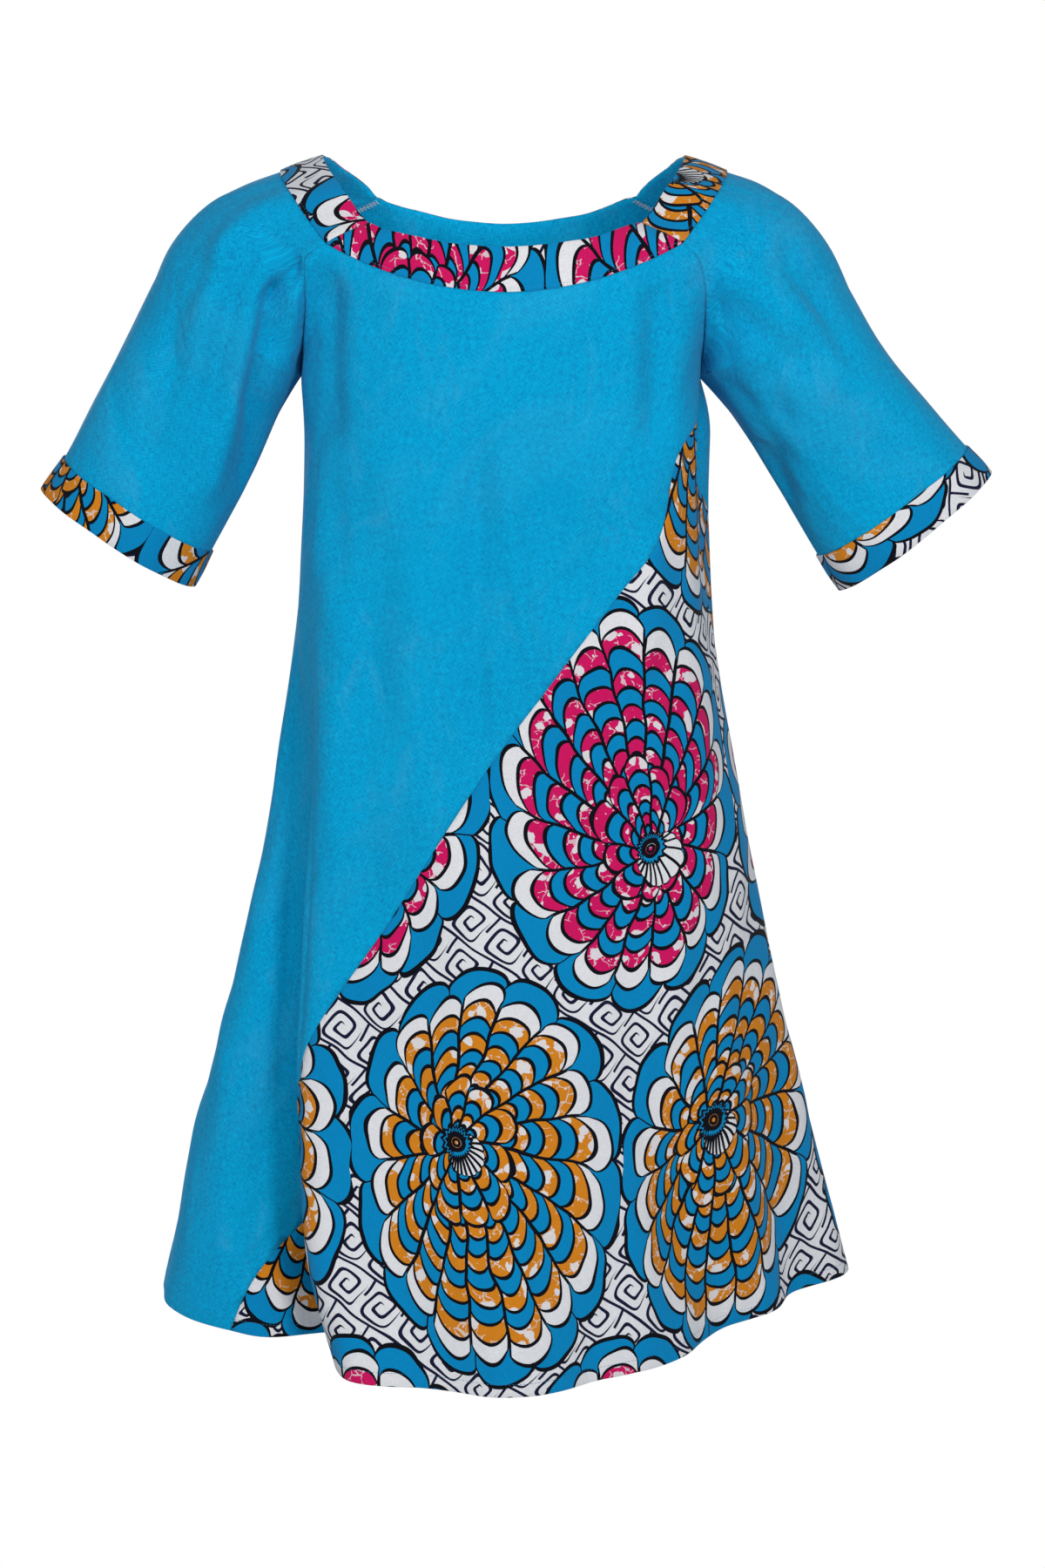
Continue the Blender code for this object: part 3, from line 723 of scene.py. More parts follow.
class Field:
    """A value, place or colour over the cloth: an output socket, with arithmetic on it."""

    def __init__(self, socket: bpy.types.NodeSocket) -> None:
        """Hold one output socket of a node tree."""
        self.socket = socket
        self.tree = socket.id_data

    def run(self, operation: str, *values: "Field | float") -> "Field":
        """A Math node on this field.

        Args:
            operation: the node's operation.
            values: the inputs; None stands for this field itself.

        Returns:
            The node's output.
        """
        inputs = [self if value is None else value for value in values or (None,)]
        return Field(add(self.tree, "Math", dict(enumerate(inputs)), operation=operation).outputs[0])

    def __add__(self, other: "Field | float") -> "Field":
        """The sum."""
        return self.run("ADD", None, other)

    def __sub__(self, other: "Field | float") -> "Field":
        """The difference."""
        return self.run("SUBTRACT", None, other)

    def __rsub__(self, other: float) -> "Field":
        """A number less this field."""
        return self.run("SUBTRACT", other, None)

    def __mul__(self, other: "Field | float") -> "Field":
        """The product."""
        return self.run("MULTIPLY", None, other)

    def __truediv__(self, other: "Field | float") -> "Field":
        """The quotient."""
        return self.run("DIVIDE", None, other)

    def __pow__(self, exponent: float) -> "Field":
        """The power."""
        return self.run("POWER", None, exponent)

    def below(self, limit: "Field | float") -> "Field":
        """1 where this field is under a limit, and 0 elsewhere."""
        return self.run("LESS_THAN", None, limit)

    def above(self, limit: "Field | float") -> "Field":
        """1 where this field is over a limit, and 0 elsewhere."""
        return self.run("GREATER_THAN", None, limit)

    def least(self, other: "Field | float") -> "Field":
        """The lesser of two."""
        return self.run("MINIMUM", None, other)

    def most(self, other: "Field | float") -> "Field":
        """The greater of two."""
        return self.run("MAXIMUM", None, other)

    def size(self) -> "Field":
        """The value without its sign."""
        return self.run("ABSOLUTE")

    def whole(self) -> "Field":
        """The whole number at or under this one."""
        return self.run("FLOOR")

    def part(self) -> "Field":
        """What is left over the whole number."""
        return self.run("FRACT")

    def parity(self) -> "Field":
        """1 where the whole number is odd, and 0 where it is even."""
        return (self * 0.5).part().above(0.25)

    def root(self) -> "Field":
        """The square root."""
        return self.most(0.0).run("SQRT")

    def spread(self, low: float, high: float, to_low: float = 0.0, to_high: float = 1.0) -> "Field":
        """This field's range low to high moved smoothly to another range."""
        inputs = dict(enumerate((self, low, high, to_low, to_high)))
        return Field(add(self.tree, "MapRange", inputs, interpolation_type="SMOOTHSTEP").outputs[0])

    def blend(self, first: object, second: object) -> "Field":
        """The first colour where this field is 0, and the second where it is 1."""
        inputs = {"Factor": self, "A": first, "B": second}
        return Field(add(self.tree, "Mix", inputs, data_type="RGBA").outputs[2])

    def parts(self) -> tuple:
        """The X and Y of this place, as two fields."""
        node = add(self.tree, "SeparateXYZ", {0: self})
        return Field(node.outputs[0]), Field(node.outputs[1])

    def moved(self, scale: tuple = (1, 1, 1), turn: float = 0.0) -> "Field":
        """This place stretched along each axis, and turned about Z by an angle in radians."""
        inputs = {"Vector": self, "Scale": scale, "Rotation": (0.0, 0.0, turn)}
        return Field(add(self.tree, "Mapping", inputs).outputs[0])

    def noise(self, scale: tuple, turn: float = 0.0, output: str = "Fac",
              **inputs: float) -> "Field":
        """A noise over this place.

        Args:
            scale: how many turns it takes in a metre, along each axis.
            turn: the angle about Z at which it lies, in radians.
            output: Fac or Color.
            inputs: the texture's other inputs.

        Returns:
            The noise.
        """
        inputs |= {"Vector": self.moved(scale, turn), "Scale": 1.0}
        return Field(add(self.tree, "TexNoise", inputs).outputs[output])

    def cells(self, pace: float, feature: str = "F1") -> "Field":
        """The distance from the middles, or the edges, of so many random cells in a metre."""
        inputs = {"Vector": self.moved((pace, pace, 1)), "Scale": 1.0, "Randomness": 1.0}
        return Field(add(self.tree, "TexVoronoi", inputs, feature=feature).outputs["Distance"])


def open_group(name: str, **gives: str) -> tuple:
    """A shader node group that takes cut coordinates.

    Args:
        name: the group's name.
        gives: the socket type of each output.

    Returns:
        The cut coordinates inside it, and its output node.
    """
    group = bpy.data.node_groups.new(name, "ShaderNodeTree")
    group.interface.new_socket(name="Cut", in_out="INPUT", socket_type=VECTOR)
    for label, kind in gives.items():
        group.interface.new_socket(name=label, in_out="OUTPUT", socket_type=kind)
    cut = Field(group.nodes.new("NodeGroupInput").outputs["Cut"])
    return cut, group.nodes.new("NodeGroupOutput")


def close_group(sink: bpy.types.Node, **values: Field) -> bpy.types.NodeTree:
    """Set a group's outputs and give the group."""
    for label, value in values.items():
        plug(value, sink.inputs[label])
    return sink.id_data


def use_group(group: bpy.types.NodeTree, cut: Field) -> tuple:
    """Every output of a group at the cut coordinates, as fields."""
    node = add(cut.tree, "Group", {"Cut": cut}, node_tree=group)
    return tuple(Field(socket) for socket in node.outputs)


@dataclass(frozen=True)
class Weave:
    """Plain weave with slubs: thicker stretches of yarn that run along and across the cloth."""

    yarn: float = 0.00055  # from one yarn to the next
    slub_length: float = 0.006
    slub_width: float = 0.0006
    flecks: tuple = (760, 760, 1)  # in a metre, along each axis
    clouds: tuple = (14, 9, 1)
    shares: tuple = (0.40, 0.40, 0.14, 0.06)  # of warp, weft, flecks and clouds in the tone
    contrast: float = 1.7
    relief: tuple = (0.35, 0.9)  # of the yarns and of the slubs

    def build(self) -> bpy.types.NodeTree:
        """Make the group: cut coordinates in, tone (about 0.5) and height out."""
        cut, sink = open_group("cotton_weave", Tone=NUMBER, Height=NUMBER)
        long, wide = 1 / self.slub_length, 1 / self.slub_width
        warp = cut.noise((wide, long, 1), Detail=2.0, Roughness=0.6)
        weft = cut.noise((long, wide, 1), Detail=2.0, Roughness=0.6)
        fleck = cut.noise(self.flecks, Detail=1.0)
        cloud = cut.noise(self.clouds, Detail=3.0)
        warps, wefts, flecks, clouds = self.shares
        tone = warp * warps + weft * wefts + fleck * flecks + cloud * clouds
        over, under = [(part * (pi / self.yarn)).run("SINE").size() for part in cut.parts()]
        height = over.most(under) * self.relief[0] + (warp + weft) * self.relief[1]
        return close_group(sink, Tone=(tone - 0.5) * self.contrast + 0.5, Height=height)


@dataclass(frozen=True)
class Rumple:
    """Soft rumples left in cotton by wearing, and painted sheen: pale streaks and patches for light on
    the fibres.
    """

    broad: float = 0.0100  # depths in metres
    fine: float = 0.0022
    broad_pace: tuple = (16, 7, 1)  # in a metre, along each axis
    fine_pace: tuple = (55, 30, 1)
    streaks: tuple = (28, 12, 13)
    broad_lie: float = 0.15  # the angles at which they lie, in radians
    fine_lie: float = -0.3
    streaky: float = 0.7  # the share of the painted sheen that lies in streaks

    def build(self) -> bpy.types.NodeTree:
        """Make the group: cut coordinates in, height in metres and the painted sheen mask (0 to 1) out.
        """
        cut, sink = open_group("rumple", Height=NUMBER, Haze=NUMBER)
        broad = cut.noise(self.broad_pace, self.broad_lie, Detail=2.0, Distortion=0.6)
        fine = cut.noise(self.fine_pace, self.fine_lie, Detail=2.0, Distortion=0.8)
        place = Field(add(cut.tree, "TexCoord", {}).outputs["Object"])
        streak = place.noise(self.streaks, Detail=4.0, Roughness=0.7, Distortion=0.9)
        # painted sheen: pale streaks and patches that stand in for light caught by the fibres
        painted_sheen = streak.spread(0.52, 0.74) * self.streaky
        painted_sheen += broad.spread(0.52, 0.72) * (1 - self.streaky)
        return close_group(sink, Height=broad * self.broad + fine * self.fine, Haze=painted_sheen)


@dataclass(frozen=True)
class Flower:
    """One row's kind of flower: its colour, its place in the repeat and where its eye lies."""

    name: str
    tint: tuple
    across: float  # shares of the repeat by which its middles are moved
    up: float
    eye_across: float  # from the flower's middle to its eye, in metres
    eye_up: float


@dataclass(frozen=True)
class WaxPrint:
    """Large oval flowers in a half-drop repeat, on a pale ground of squared scrolls.

    Sizes are in metres on the flat cloth.  Every flower is made of arms that spread from an eye
    which lies off its middle, and each arm is a stack of round-ended scales, blue and coloured by
    turns, with a white tip.  One row of flowers is rose and the next ochre.
    """

    width: float = 0.228  # of the repeat
    height: float = 0.600  # of the repeat, which holds two rows of flowers
    half_width: float = 0.105  # of a flower, to its white tips
    half_height: float = 0.156
    slant: float = 0.16  # a flower leans by up to half this share of its height, either way
    chances: tuple = (0.618, 0.37)  # the lean changes by so much from flower to flower
    arms: int = 18
    inner_arms: int = 10  # of those round the eye, which overlie the others
    inner_share: float = 0.40  # of the way out, where they end
    sweep: float = 0.5  # an arm turns by this share of its width on its way out
    lobes: int = 14  # of the border
    petals: int = 28  # in the fan beside the eye
    scale: float = 0.0150  # of one scale at the outside of a flower
    narrowing: float = 0.8  # below 1 the scales shorten towards the eye
    round_end: float = 1.0  # of a scale, as a share of half its width
    round_steep: float = 0.97  # below 1, so that a round end meets its flank at a slope
    stagger: float = 0.45
    border: float = 0.0115
    lobe: float = 0.015
    line: float = 0.0030
    thin: float = 0.42  # half of a thin line, as a share of the line
    rim: float = 0.6  # and half of the line round the border
    joint: float = 0.38  # and of the lines between two scrolls
    heart: float = 0.0125
    eye: float = 0.0062
    fan: float = 0.020  # the petals reach this far past the heart
    fan_turn: float = 0.35  # on this side of it, in turns,
    fan_curl: float = 22.0  # and curl by this many petals in a metre
    teeth: float = 22.0  # round the heart
    rings: tuple = (0.68, 0.45)  # drawn inside the heart and inside the eye, as shares of them
    heart_ring: float = 0.0014  # half of the ring's line inside the heart
    scroll: float = 0.034  # one scroll's square
    scroll_pitch: float = 0.0074
    scroll_turn: float = 0.62
    scroll_corner: float = 5.0  # the higher, the squarer
    scroll_ends: tuple = (0.42, 0.35)  # outer, as a share of its square; inner, of the pitch
    blots: tuple = ((72, 0.9, 0.13), (210, 0.55, 0.15))  # in a metre, growth on patches, less
    cracks: tuple = (105, 0.03, 0.7)  # in a metre, width, and how white they are
    patches: float = 70  # of blots, in a metre
    bare: float = 0.92  # how white a blot is
    hand: tuple = (22.0, 0.013)  # the wander of every line: turns in a metre, and reach
    rag: tuple = (170.0, 0.005)  # and that of the blots' edges
    blue: tuple = linear(0, 138, 196)
    rose: tuple = linear(212, 20, 98)
    ochre: tuple = linear(218, 134, 30)
    pale: tuple = linear(230, 229, 232)
    ink: tuple = linear(10, 12, 22)
    navy: tuple = linear(22, 24, 56)

    def build(self) -> bpy.types.NodeTree:
        """Make the group: cut coordinates in, colour out."""
        cut, sink = open_group("wax_print", Color=COLOUR)
        cut = self.wander(cut, *self.hand)
        print_colour = self.ground(cut)
        for flower in (Flower("ochre_flower", self.ochre, 0.0, 0.0, -0.027, 0.030),
                       Flower("rose_flower", self.rose, 0.5, 0.5, 0.020, -0.040)):
            colour, cover = use_group(self.flower(flower), cut)
            print_colour = cover.blend(print_colour, colour)
        return close_group(sink, Color=print_colour)

    def wander(self, cut: Field, pace: float, reach: float) -> Field:
        """Coordinates moved about by a noise.

        Args:
            cut: the cut coordinates.
            pace: how many turns the noise takes in a metre.
            reach: how far it moves them, in metres.

        Returns:
            The wandering coordinates.
        """
        noise = cut.noise((pace, pace, 1), output="Color", Detail=1.0)
        inputs = {0: noise, 1: (reach, reach, 0.0), 2: cut}
        return Field(add(cut.tree, "VectorMath", inputs, operation="MULTIPLY_ADD").outputs[0])

    def flower(self, flower: Flower) -> bpy.types.NodeTree:
        """Make the group of one kind of flower.

        Args:
            flower: its colour and place.

        Returns:
            The group: wandering cut coordinates in, colour and cover (1 inside) out.
        """
        cut, sink = open_group(flower.name, Color=COLOUR, Cover=NUMBER)
        x, y = cut.parts()
        x = x / self.width - flower.across
        y = y / self.height - flower.up
        column, row = x.whole(), y.whole()
        chance = (column * self.chances[0] + row * self.chances[1]).part()
        x = (x - column - 0.5) * self.width
        y = (y - row - 0.5) * self.height
        place = self.oval(x + y * (chance - 0.5) * self.slant, y, flower)
        share, _, radius, span = place
        reach = radius / share
        arms, level, inked = self.scales(place, self.arms, reach, chance)
        _, inner, inner_inked = self.scales(place, self.inner_arms, reach * self.inner_share, chance)
        inside, within = level.above(0.0), inner.above(0.0)
        inked = (inked * (1.0 - within)).most(inner_inked)
        tint = self.crackle(cut, flower.tint)
        colour = level.whole().parity().blend(self.blue, tint)
        colour = level.below(1.0).blend(colour, self.pale)
        colour = within.blend(colour, inner.whole().parity().blend(tint, self.blue))
        lobes = arms * (self.lobes / self.arms)
        dip, tick = self.across_arm(lobes, span, self.lobes)
        beyond = (share - 1.0) * reach + dip * self.lobe - self.border
        border = beyond.below(0.0) * (1.0 - inside)
        rim = level.size().below(self.line / 2 / self.scale)
        rim = beyond.size().below(self.line * self.rim).most(rim)
        tick = tick.below(self.line / 2.6) * lobes.whole().parity() * border
        inked = inked.most(rim * (1.0 - inside.least(level.above(0.5)))).most(tick)
        colour, inked = self.centre(place, tint, inside.blend(self.blue, colour), inked)
        cover = beyond.below(self.line * self.rim).most(inside)
        return close_group(sink, Color=inked.blend(colour, self.ink), Cover=cover)

    def oval(self, x: Field, y: Field, flower: Flower) -> tuple:
        """Place points in ovals that grow from the eye to the flower's outline.

        Args:
            x: distance across from the flower's middle.
            y: distance up from it.
            flower: the flower, for the place of its eye.

        Returns:
            The place: the share of the way out (1 on the outline), the turn round the eye from 0
            to 1, the distance from the eye, and the distance across for each radian of turn.
        """
        back_x = -flower.eye_across / self.half_width
        back_y = -flower.eye_up / self.half_height
        room = 1.0 - back_x**2 - back_y**2
        p = x / self.half_width + back_x
        q = y / self.half_height + back_y
        along = p * back_x + q * back_y
        share = (along * along + (p * p + q * q) * room).root() - along
        share = (share / room).most(0.002)
        turn = (q - share * back_y).run("ARCTAN2", None, p - share * back_x) / (2 * pi) + 0.5
        leaning = share * room + along
        p, q = p * self.half_width, q * self.half_height
        radius = (p * p + q * q).root().most(0.0001)
        span = share * leaning * (self.half_width * self.half_height) / radius
        return share, turn, radius, span

    def scales(self, place: tuple, count: int, end: Field, shift: Field) -> tuple:
        """Arms round the eye, each a stack of round-ended scales.

        Args:
            place: where the points lie in the flower's ovals.
            count: how many arms.
            end: their ends' distance from the eye.
            shift: how far they are turned, in arms.

        Returns:
            The turn in arms, the scales counted inwards from the arms' ends, and their ink.
        """
        share, turn, radius, span = place
        arms = turn * count + share * self.sweep + shift
        dip, flank = self.across_arm(arms, span, count)
        rounded = radius + dip * span * (self.round_end * pi / count)
        step = self.scale * self.half_height ** (self.narrowing - 1)
        outer, here = [
            distance.most(0.0001) ** self.narrowing / (step * self.narrowing)
            for distance in (end, rounded)
        ]
        level = outer - here - arms.whole().parity() * self.stagger
        nearest = level.part().least(1.0 - level.part()) * (rounded ** (1 - self.narrowing) * step)
        ends = nearest.below(self.line / 2) * level.above(-0.2)
        return arms, level, ends.most(flank.below(self.line / 2.2) * level.above(0.0))

    def across_arm(self, arms: Field, span: Field, count: int) -> tuple:
        """Where a point lies across the arm that holds it.

        Args:
            arms: the turn round the flower, in arms.
            span: the distance across for each radian of turn.
            count: the number of arms.

        Returns:
            How far the arm's round end falls back there (0 to 1), and the distance to its flank.
        """
        aside = (arms.part() * 2.0 - 1.0).size()
        dip = 1.0 - (1.0 - aside * aside * self.round_steep).root()
        return dip, (1.0 - aside) * span * (pi / count)

    def crackle(self, cut: Field, tint: tuple) -> Field:
        """White blots and cracks of the wax resist, over a scale's colour.

        Args:
            cut: the coordinates.
            tint: the colour.

        Returns:
            The colour with its blots.
        """
        cut = self.wander(cut, *self.rag)
        patch = cut.noise((self.patches, self.patches, 1), Detail=2.0)
        pace, width, white = self.cracks
        bare = cut.cells(pace, "DISTANCE_TO_EDGE").below(width) * patch.above(0.5) * white
        for pace, growth, less in self.blots:
            bare = bare.most(cut.cells(pace).below(patch * growth - less))
        return (bare * self.bare).blend(tint, self.pale)

    def centre(self, place: tuple, tint: Field, colour: Field, inked: Field) -> tuple:
        """The flower's eye, its ragged blue heart and a fan of narrow white petals beside it.

        Args:
            place: where the points lie in the flower's ovals.
            tint: the flower's own colour.
            colour: the colours so far.
            inked: the ink so far.

        Returns:
            The colours and the ink with the centre laid over them.
        """
        _, turn, radius, span = place
        thin = self.line * self.thin
        petals = turn * self.petals + radius * self.fan_curl
        dip, flank = self.across_arm(petals, span, self.petals)
        swing = ((turn - self.fan_turn) * (2 * pi)).run("COSINE")
        tip = radius * (dip * 0.10 + 1.0) - swing.most(0.0) * self.fan - self.heart
        fan = tip.below(0.0)
        ragged = radius * ((turn * self.teeth).part().run("PINGPONG", None, 0.5) * 0.5 + 0.9)
        heart = ragged.below(self.heart)
        lines = flank.below(thin * 0.8).most(tip.size().below(thin)) * fan * (1.0 - heart)
        lines = lines.most((ragged - self.heart).size().below(thin))
        ring = (ragged - self.heart * self.rings[0]).size().below(self.heart_ring)
        lines = lines.most(ring * swing.below(0.25))
        lines = lines.most((radius - self.eye).size().below(thin * 1.5))
        lines = lines.most((radius - self.eye * self.rings[1]).size().below(thin))
        colour = heart.blend(fan.blend(colour, self.pale), self.blue)
        colour = radius.below(self.eye).blend(colour, tint)
        return colour, (inked * (1.0 - fan.most(heart))).most(lines)

    def ground(self, cut: Field) -> Field:
        """Off-white ground with navy squared scrolls, turned to lie on their corners.

        Args:
            cut: the coordinates.

        Returns:
            The ground's colour.
        """
        x, y = cut.moved(turn=self.scroll_turn).parts()
        row = (y / self.scroll).whole()
        x = x + row.parity() * (self.scroll * 0.5)
        column = (x / self.scroll).whole()
        x = x - (column + 0.5) * self.scroll
        y = y - (row + 0.5) * self.scroll
        corner = self.scroll_corner
        square = (x.size() ** corner + y.size() ** corner) ** (1 / corner)
        turn = y.run("ARCTAN2", None, x) / (2 * pi)
        level = (square / self.scroll_pitch - turn).part()
        spiral = level.least(1.0 - level) * self.scroll_pitch
        outer, inner = self.scroll_ends
        lines = spiral.below(self.line * self.thin) * square.below(self.scroll * outer)
        lines = lines * square.above(self.scroll_pitch * inner)
        beside, above = [
            (way.size() - self.scroll * 0.5).size().below(self.line * self.joint) for way in (x, y)
        ]
        return lines.most((beside * y.above(0.0)).most(above)).blend(self.pale, self.navy)


# ---------------------------------------------------------------- finishes


def open_material(name: str, **inputs: float) -> tuple:
    """A material with its shader's plain values set, and its shader.

    Args:
        name: the material's name.
        inputs: the values, with _ for each space in an input's name.

    Returns:
        The material and its shader.
    """
    material = bpy.data.materials.new(name)
    material.use_nodes = True
    shader = material.node_tree.nodes["Principled BSDF"]
    for label, value in inputs.items():
        shader.inputs[label.replace("_", " ")].default_value = value
    return material, shader


@dataclass(frozen=True)
class Finish:
    """What every cloth here shares: roughness, the soft sheen of its fibres and its bump."""

    name: str
    roughness: float
    sheen: float
    weave_bump: float
    rumple_bump: float
    thin: float = 0.22  # the share of light that goes into the cloth and through it
    relief: float = 0.0003  # of the weave, in metres

    def colour(self, cut: Field, tone: Field, painted_sheen: Field) -> Field:
        """The cloth's colour, from its cut coordinates, the weave's tone and the painted sheen mask."""
        raise NotImplementedError

    def build(self, weave: bpy.types.NodeTree, rumple: bpy.types.NodeTree) -> bpy.types.Material:
        """Make the material.

        Args:
            weave: the weave group.
            rumple: the rumple group.

        Returns:
            The material, with light on its face and light that comes through it.
        """
        material, shader = open_material(
            self.name, Roughness=self.roughness, Sheen_Weight=self.sheen, Sheen_Roughness=0.5,
            Specular_IOR_Level=0.08,
        )
        tree = material.node_tree
        cut = Field(add(tree, "UVMap", {}, uv_map="cut").outputs[0])
        tone, yarns = use_group(weave, cut)
        # the rumples' height, and the painted sheen mask
        rumples, painted_sheen = use_group(rumple, cut)
        inputs = {"Strength": self.rumple_bump, "Distance": 1.0, "Height": rumples}
        soft = add(tree, "Bump", inputs)
        inputs = {"Strength": self.weave_bump, "Distance": self.relief, "Height": yarns}
        fine = add(tree, "Bump", {**inputs, "Normal": soft.outputs[0]})
        colour = self.colour(cut, tone, painted_sheen)
        through = add(tree, "BsdfTranslucent", {"Color": colour})
        plug(colour, shader.inputs["Base Color"])
        plug(fine.outputs[0], shader.inputs["Normal"])
        inputs = {"Fac": self.thin, 1: shader.outputs[0], 2: through.outputs[0]}
        mix = add(tree, "MixShader", inputs)
        plug(mix.outputs[0], tree.nodes["Material Output"].inputs["Surface"])
        return material


@dataclass(frozen=True)
class PlainCotton(Finish):
    """Slubby plain-woven cotton, dyed one blue."""

    dark: tuple = linear(0, 138, 190)
    light: tuple = linear(0, 176, 224)
    # painted sheen: the pale blue that stands in for light caught by the fibres, and how much of it
    worn: tuple = linear(96, 176, 214)
    hazy: float = 0.18

    def colour(self, cut: Field, tone: Field, painted_sheen: Field) -> Field:
        """Blue that is darker and lighter by the yarn, and paler where painted sheen stands in for
        light on the fibres.
        """
        blue = tone.spread(0.34, 0.66).blend(self.dark, self.light)
        return (painted_sheen * self.hazy).blend(blue, self.worn)


@dataclass(frozen=True)
class PrintedCotton(Finish):
    """Fine cotton with the wax print through it."""

    pattern: bpy.types.NodeTree = None

    def colour(self, cut: Field, tone: Field, painted_sheen: Field) -> Field:
        """The print's colours, a little darker between the yarns."""
        (printed,) = use_group(self.pattern, cut)
        inputs = {"Factor": 1.0, "A": printed, "B": tone.spread(0.34, 0.66, 0.88, 1.0)}
        node = add(cut.tree, "Mix", inputs, data_type="RGBA", blend_type="MULTIPLY")
        return Field(node.outputs[2])


@dataclass(frozen=True)
class SewingThread:
    """Twisted polyester thread."""

    name: str
    colour: tuple
    twists: float = 2200  # in a metre

    def build(self) -> bpy.types.Material:
        """Make the material, with a faint twist along the thread."""
        material, shader = open_material(self.name, Roughness=0.55)
        place = Field(add(material.node_tree, "TexCoord", {}).outputs["Object"])
        darker = tuple(0.6 * value for value in self.colour[:3]) + (1.0,)
        twist = place.noise((self.twists,) * 3)
        plug(twist.blend(darker, self.colour), shader.inputs["Base Color"])
        return material


# ---------------------------------------------------------------- cloth pieces


HALF_TURN = [0.25, 0.5, 0.75, 1.0]  # where a turned edge's rows lie on its half turn
ROW_SAMPLES = 400


@dataclass(frozen=True)
class Lay:
    """How a piece was laid on the bolt: its cut is turned and then moved over the print."""

    u: float = 0.0
    v: float = 0.0
    turn: float = 0.0

    def on_bolt(self, cut: np.ndarray) -> np.ndarray:
        """Cut coordinates as places on the bolt."""
        cos, sin = np.cos(self.turn), np.sin(self.turn)
        u = cut[:, 0] * cos - cut[:, 1] * sin + self.u
        v = cut[:, 0] * sin + cut[:, 1] * cos + self.v
        return np.stack([u, v], axis=1)


def flat_grid(columns: int, rows: np.ndarray, width: float = 1.0) -> bmesh.types.BMesh:
    """A level grid with its columns along X and the given rows along Y.

    Args:
        columns: how many columns of faces.
        rows: the rows of its lines.
        width: where its last column ends; at 1 its X is a share of the row.

    Returns:
        The grid.
    """
    mesh = bmesh.new()
    bmesh.ops.create_grid(mesh, x_segments=columns, y_segments=len(rows) - 1, size=0.5)
    for vertex in mesh.verts:
        vertex.co.x = round((vertex.co.x + 0.5) * columns) * width / columns
        vertex.co.y = rows[round((vertex.co.y + 0.5) * (len(rows) - 1))]
    return mesh


def body_grid(columns: int, rows: np.ndarray, seam: list, below: bool) -> bmesh.types.BMesh:
    """The part of a body side above or below its diagonal seam, as shares and rows.

    Args:
        columns: columns of faces over the whole side.
        rows: the rows of its lines.
        seam: the stations of the diagonal seam.
        below: whether the part below the seam is wanted.

    Returns:
        A grid with shares along X and rows along Y.
    """
    mesh = flat_grid(columns, rows, columns)
    top = seam[0].row

    def seam_column(row: float) -> float:
        """The column at which the seam crosses a row; above its top it is off the side."""
        if row <= top:
            return columns + (top - row) * columns
        return columns * smooth_columns(seam, np.array([min(row, HEM_ROW)]))[0, 0]

    for vertex in mesh.verts:
        offset = vertex.co.x - seam_column(vertex.co.y)
        vertex.co.x = 0.0 if abs(offset) < SNAP else offset
    everything = mesh.verts[:] + mesh.edges[:] + mesh.faces[:]
    bmesh.ops.bisect_plane(mesh, geom=everything, dist=MERGE, plane_co=(0, 0, 0),
                           plane_no=(1, 0, 0), clear_outer=not below, clear_inner=below)
    for vertex in mesh.verts:
        offset = 0.0 if abs(vertex.co.x) < MERGE * 10 else vertex.co.x
        vertex.co.x = (offset + seam_column(vertex.co.y)) / columns
    return mesh


def row_lines(skin: Skin, top: float, foot: float, cell: float, above: list, below: list) -> np.ndarray:
    """Rows about one cell apart down a skin, with the rows of its turned edges.

    Args:
        skin: the skin.
        top: the first row.
        foot: the last row.
        cell: the distance wanted between rows, in metres.
        above: how far before the first row its turned rows lie.
        below: how far past the last row its turned rows lie.

    Returns:
        All the rows, in order.
    """
    rows = np.linspace(top, foot, ROW_SAMPLES)
    run = run_along(skin.at(rows, np.full(ROW_SAMPLES, 0.5), skin.points))
    count = max(4, round(run[-1] / cell))
    between = np.interp(np.linspace(0, run[-1], count + 1), run, rows)
    return np.concatenate([[top - past for past in above[::-1]], between,
                           [foot + past for past in below]])


def finished(name: str, mesh: bmesh.types.BMesh, material: bpy.types.Material) -> bpy.types.Object:
    """A finished mesh as an object on the body.

    Args:
        name: the object's name.
        mesh: the mesh, which is freed.
        material: its finish.

    Returns:
        The object.
    """
    data = bpy.data.meshes.new(name)
    mesh.to_mesh(data)
    mesh.free()
    data.shade_smooth()
    data.materials.append(material)
    piece = bpy.data.objects.new(name, data)
    bpy.context.scene.collection.objects.link(piece)
    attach(piece, BODY)
    return piece


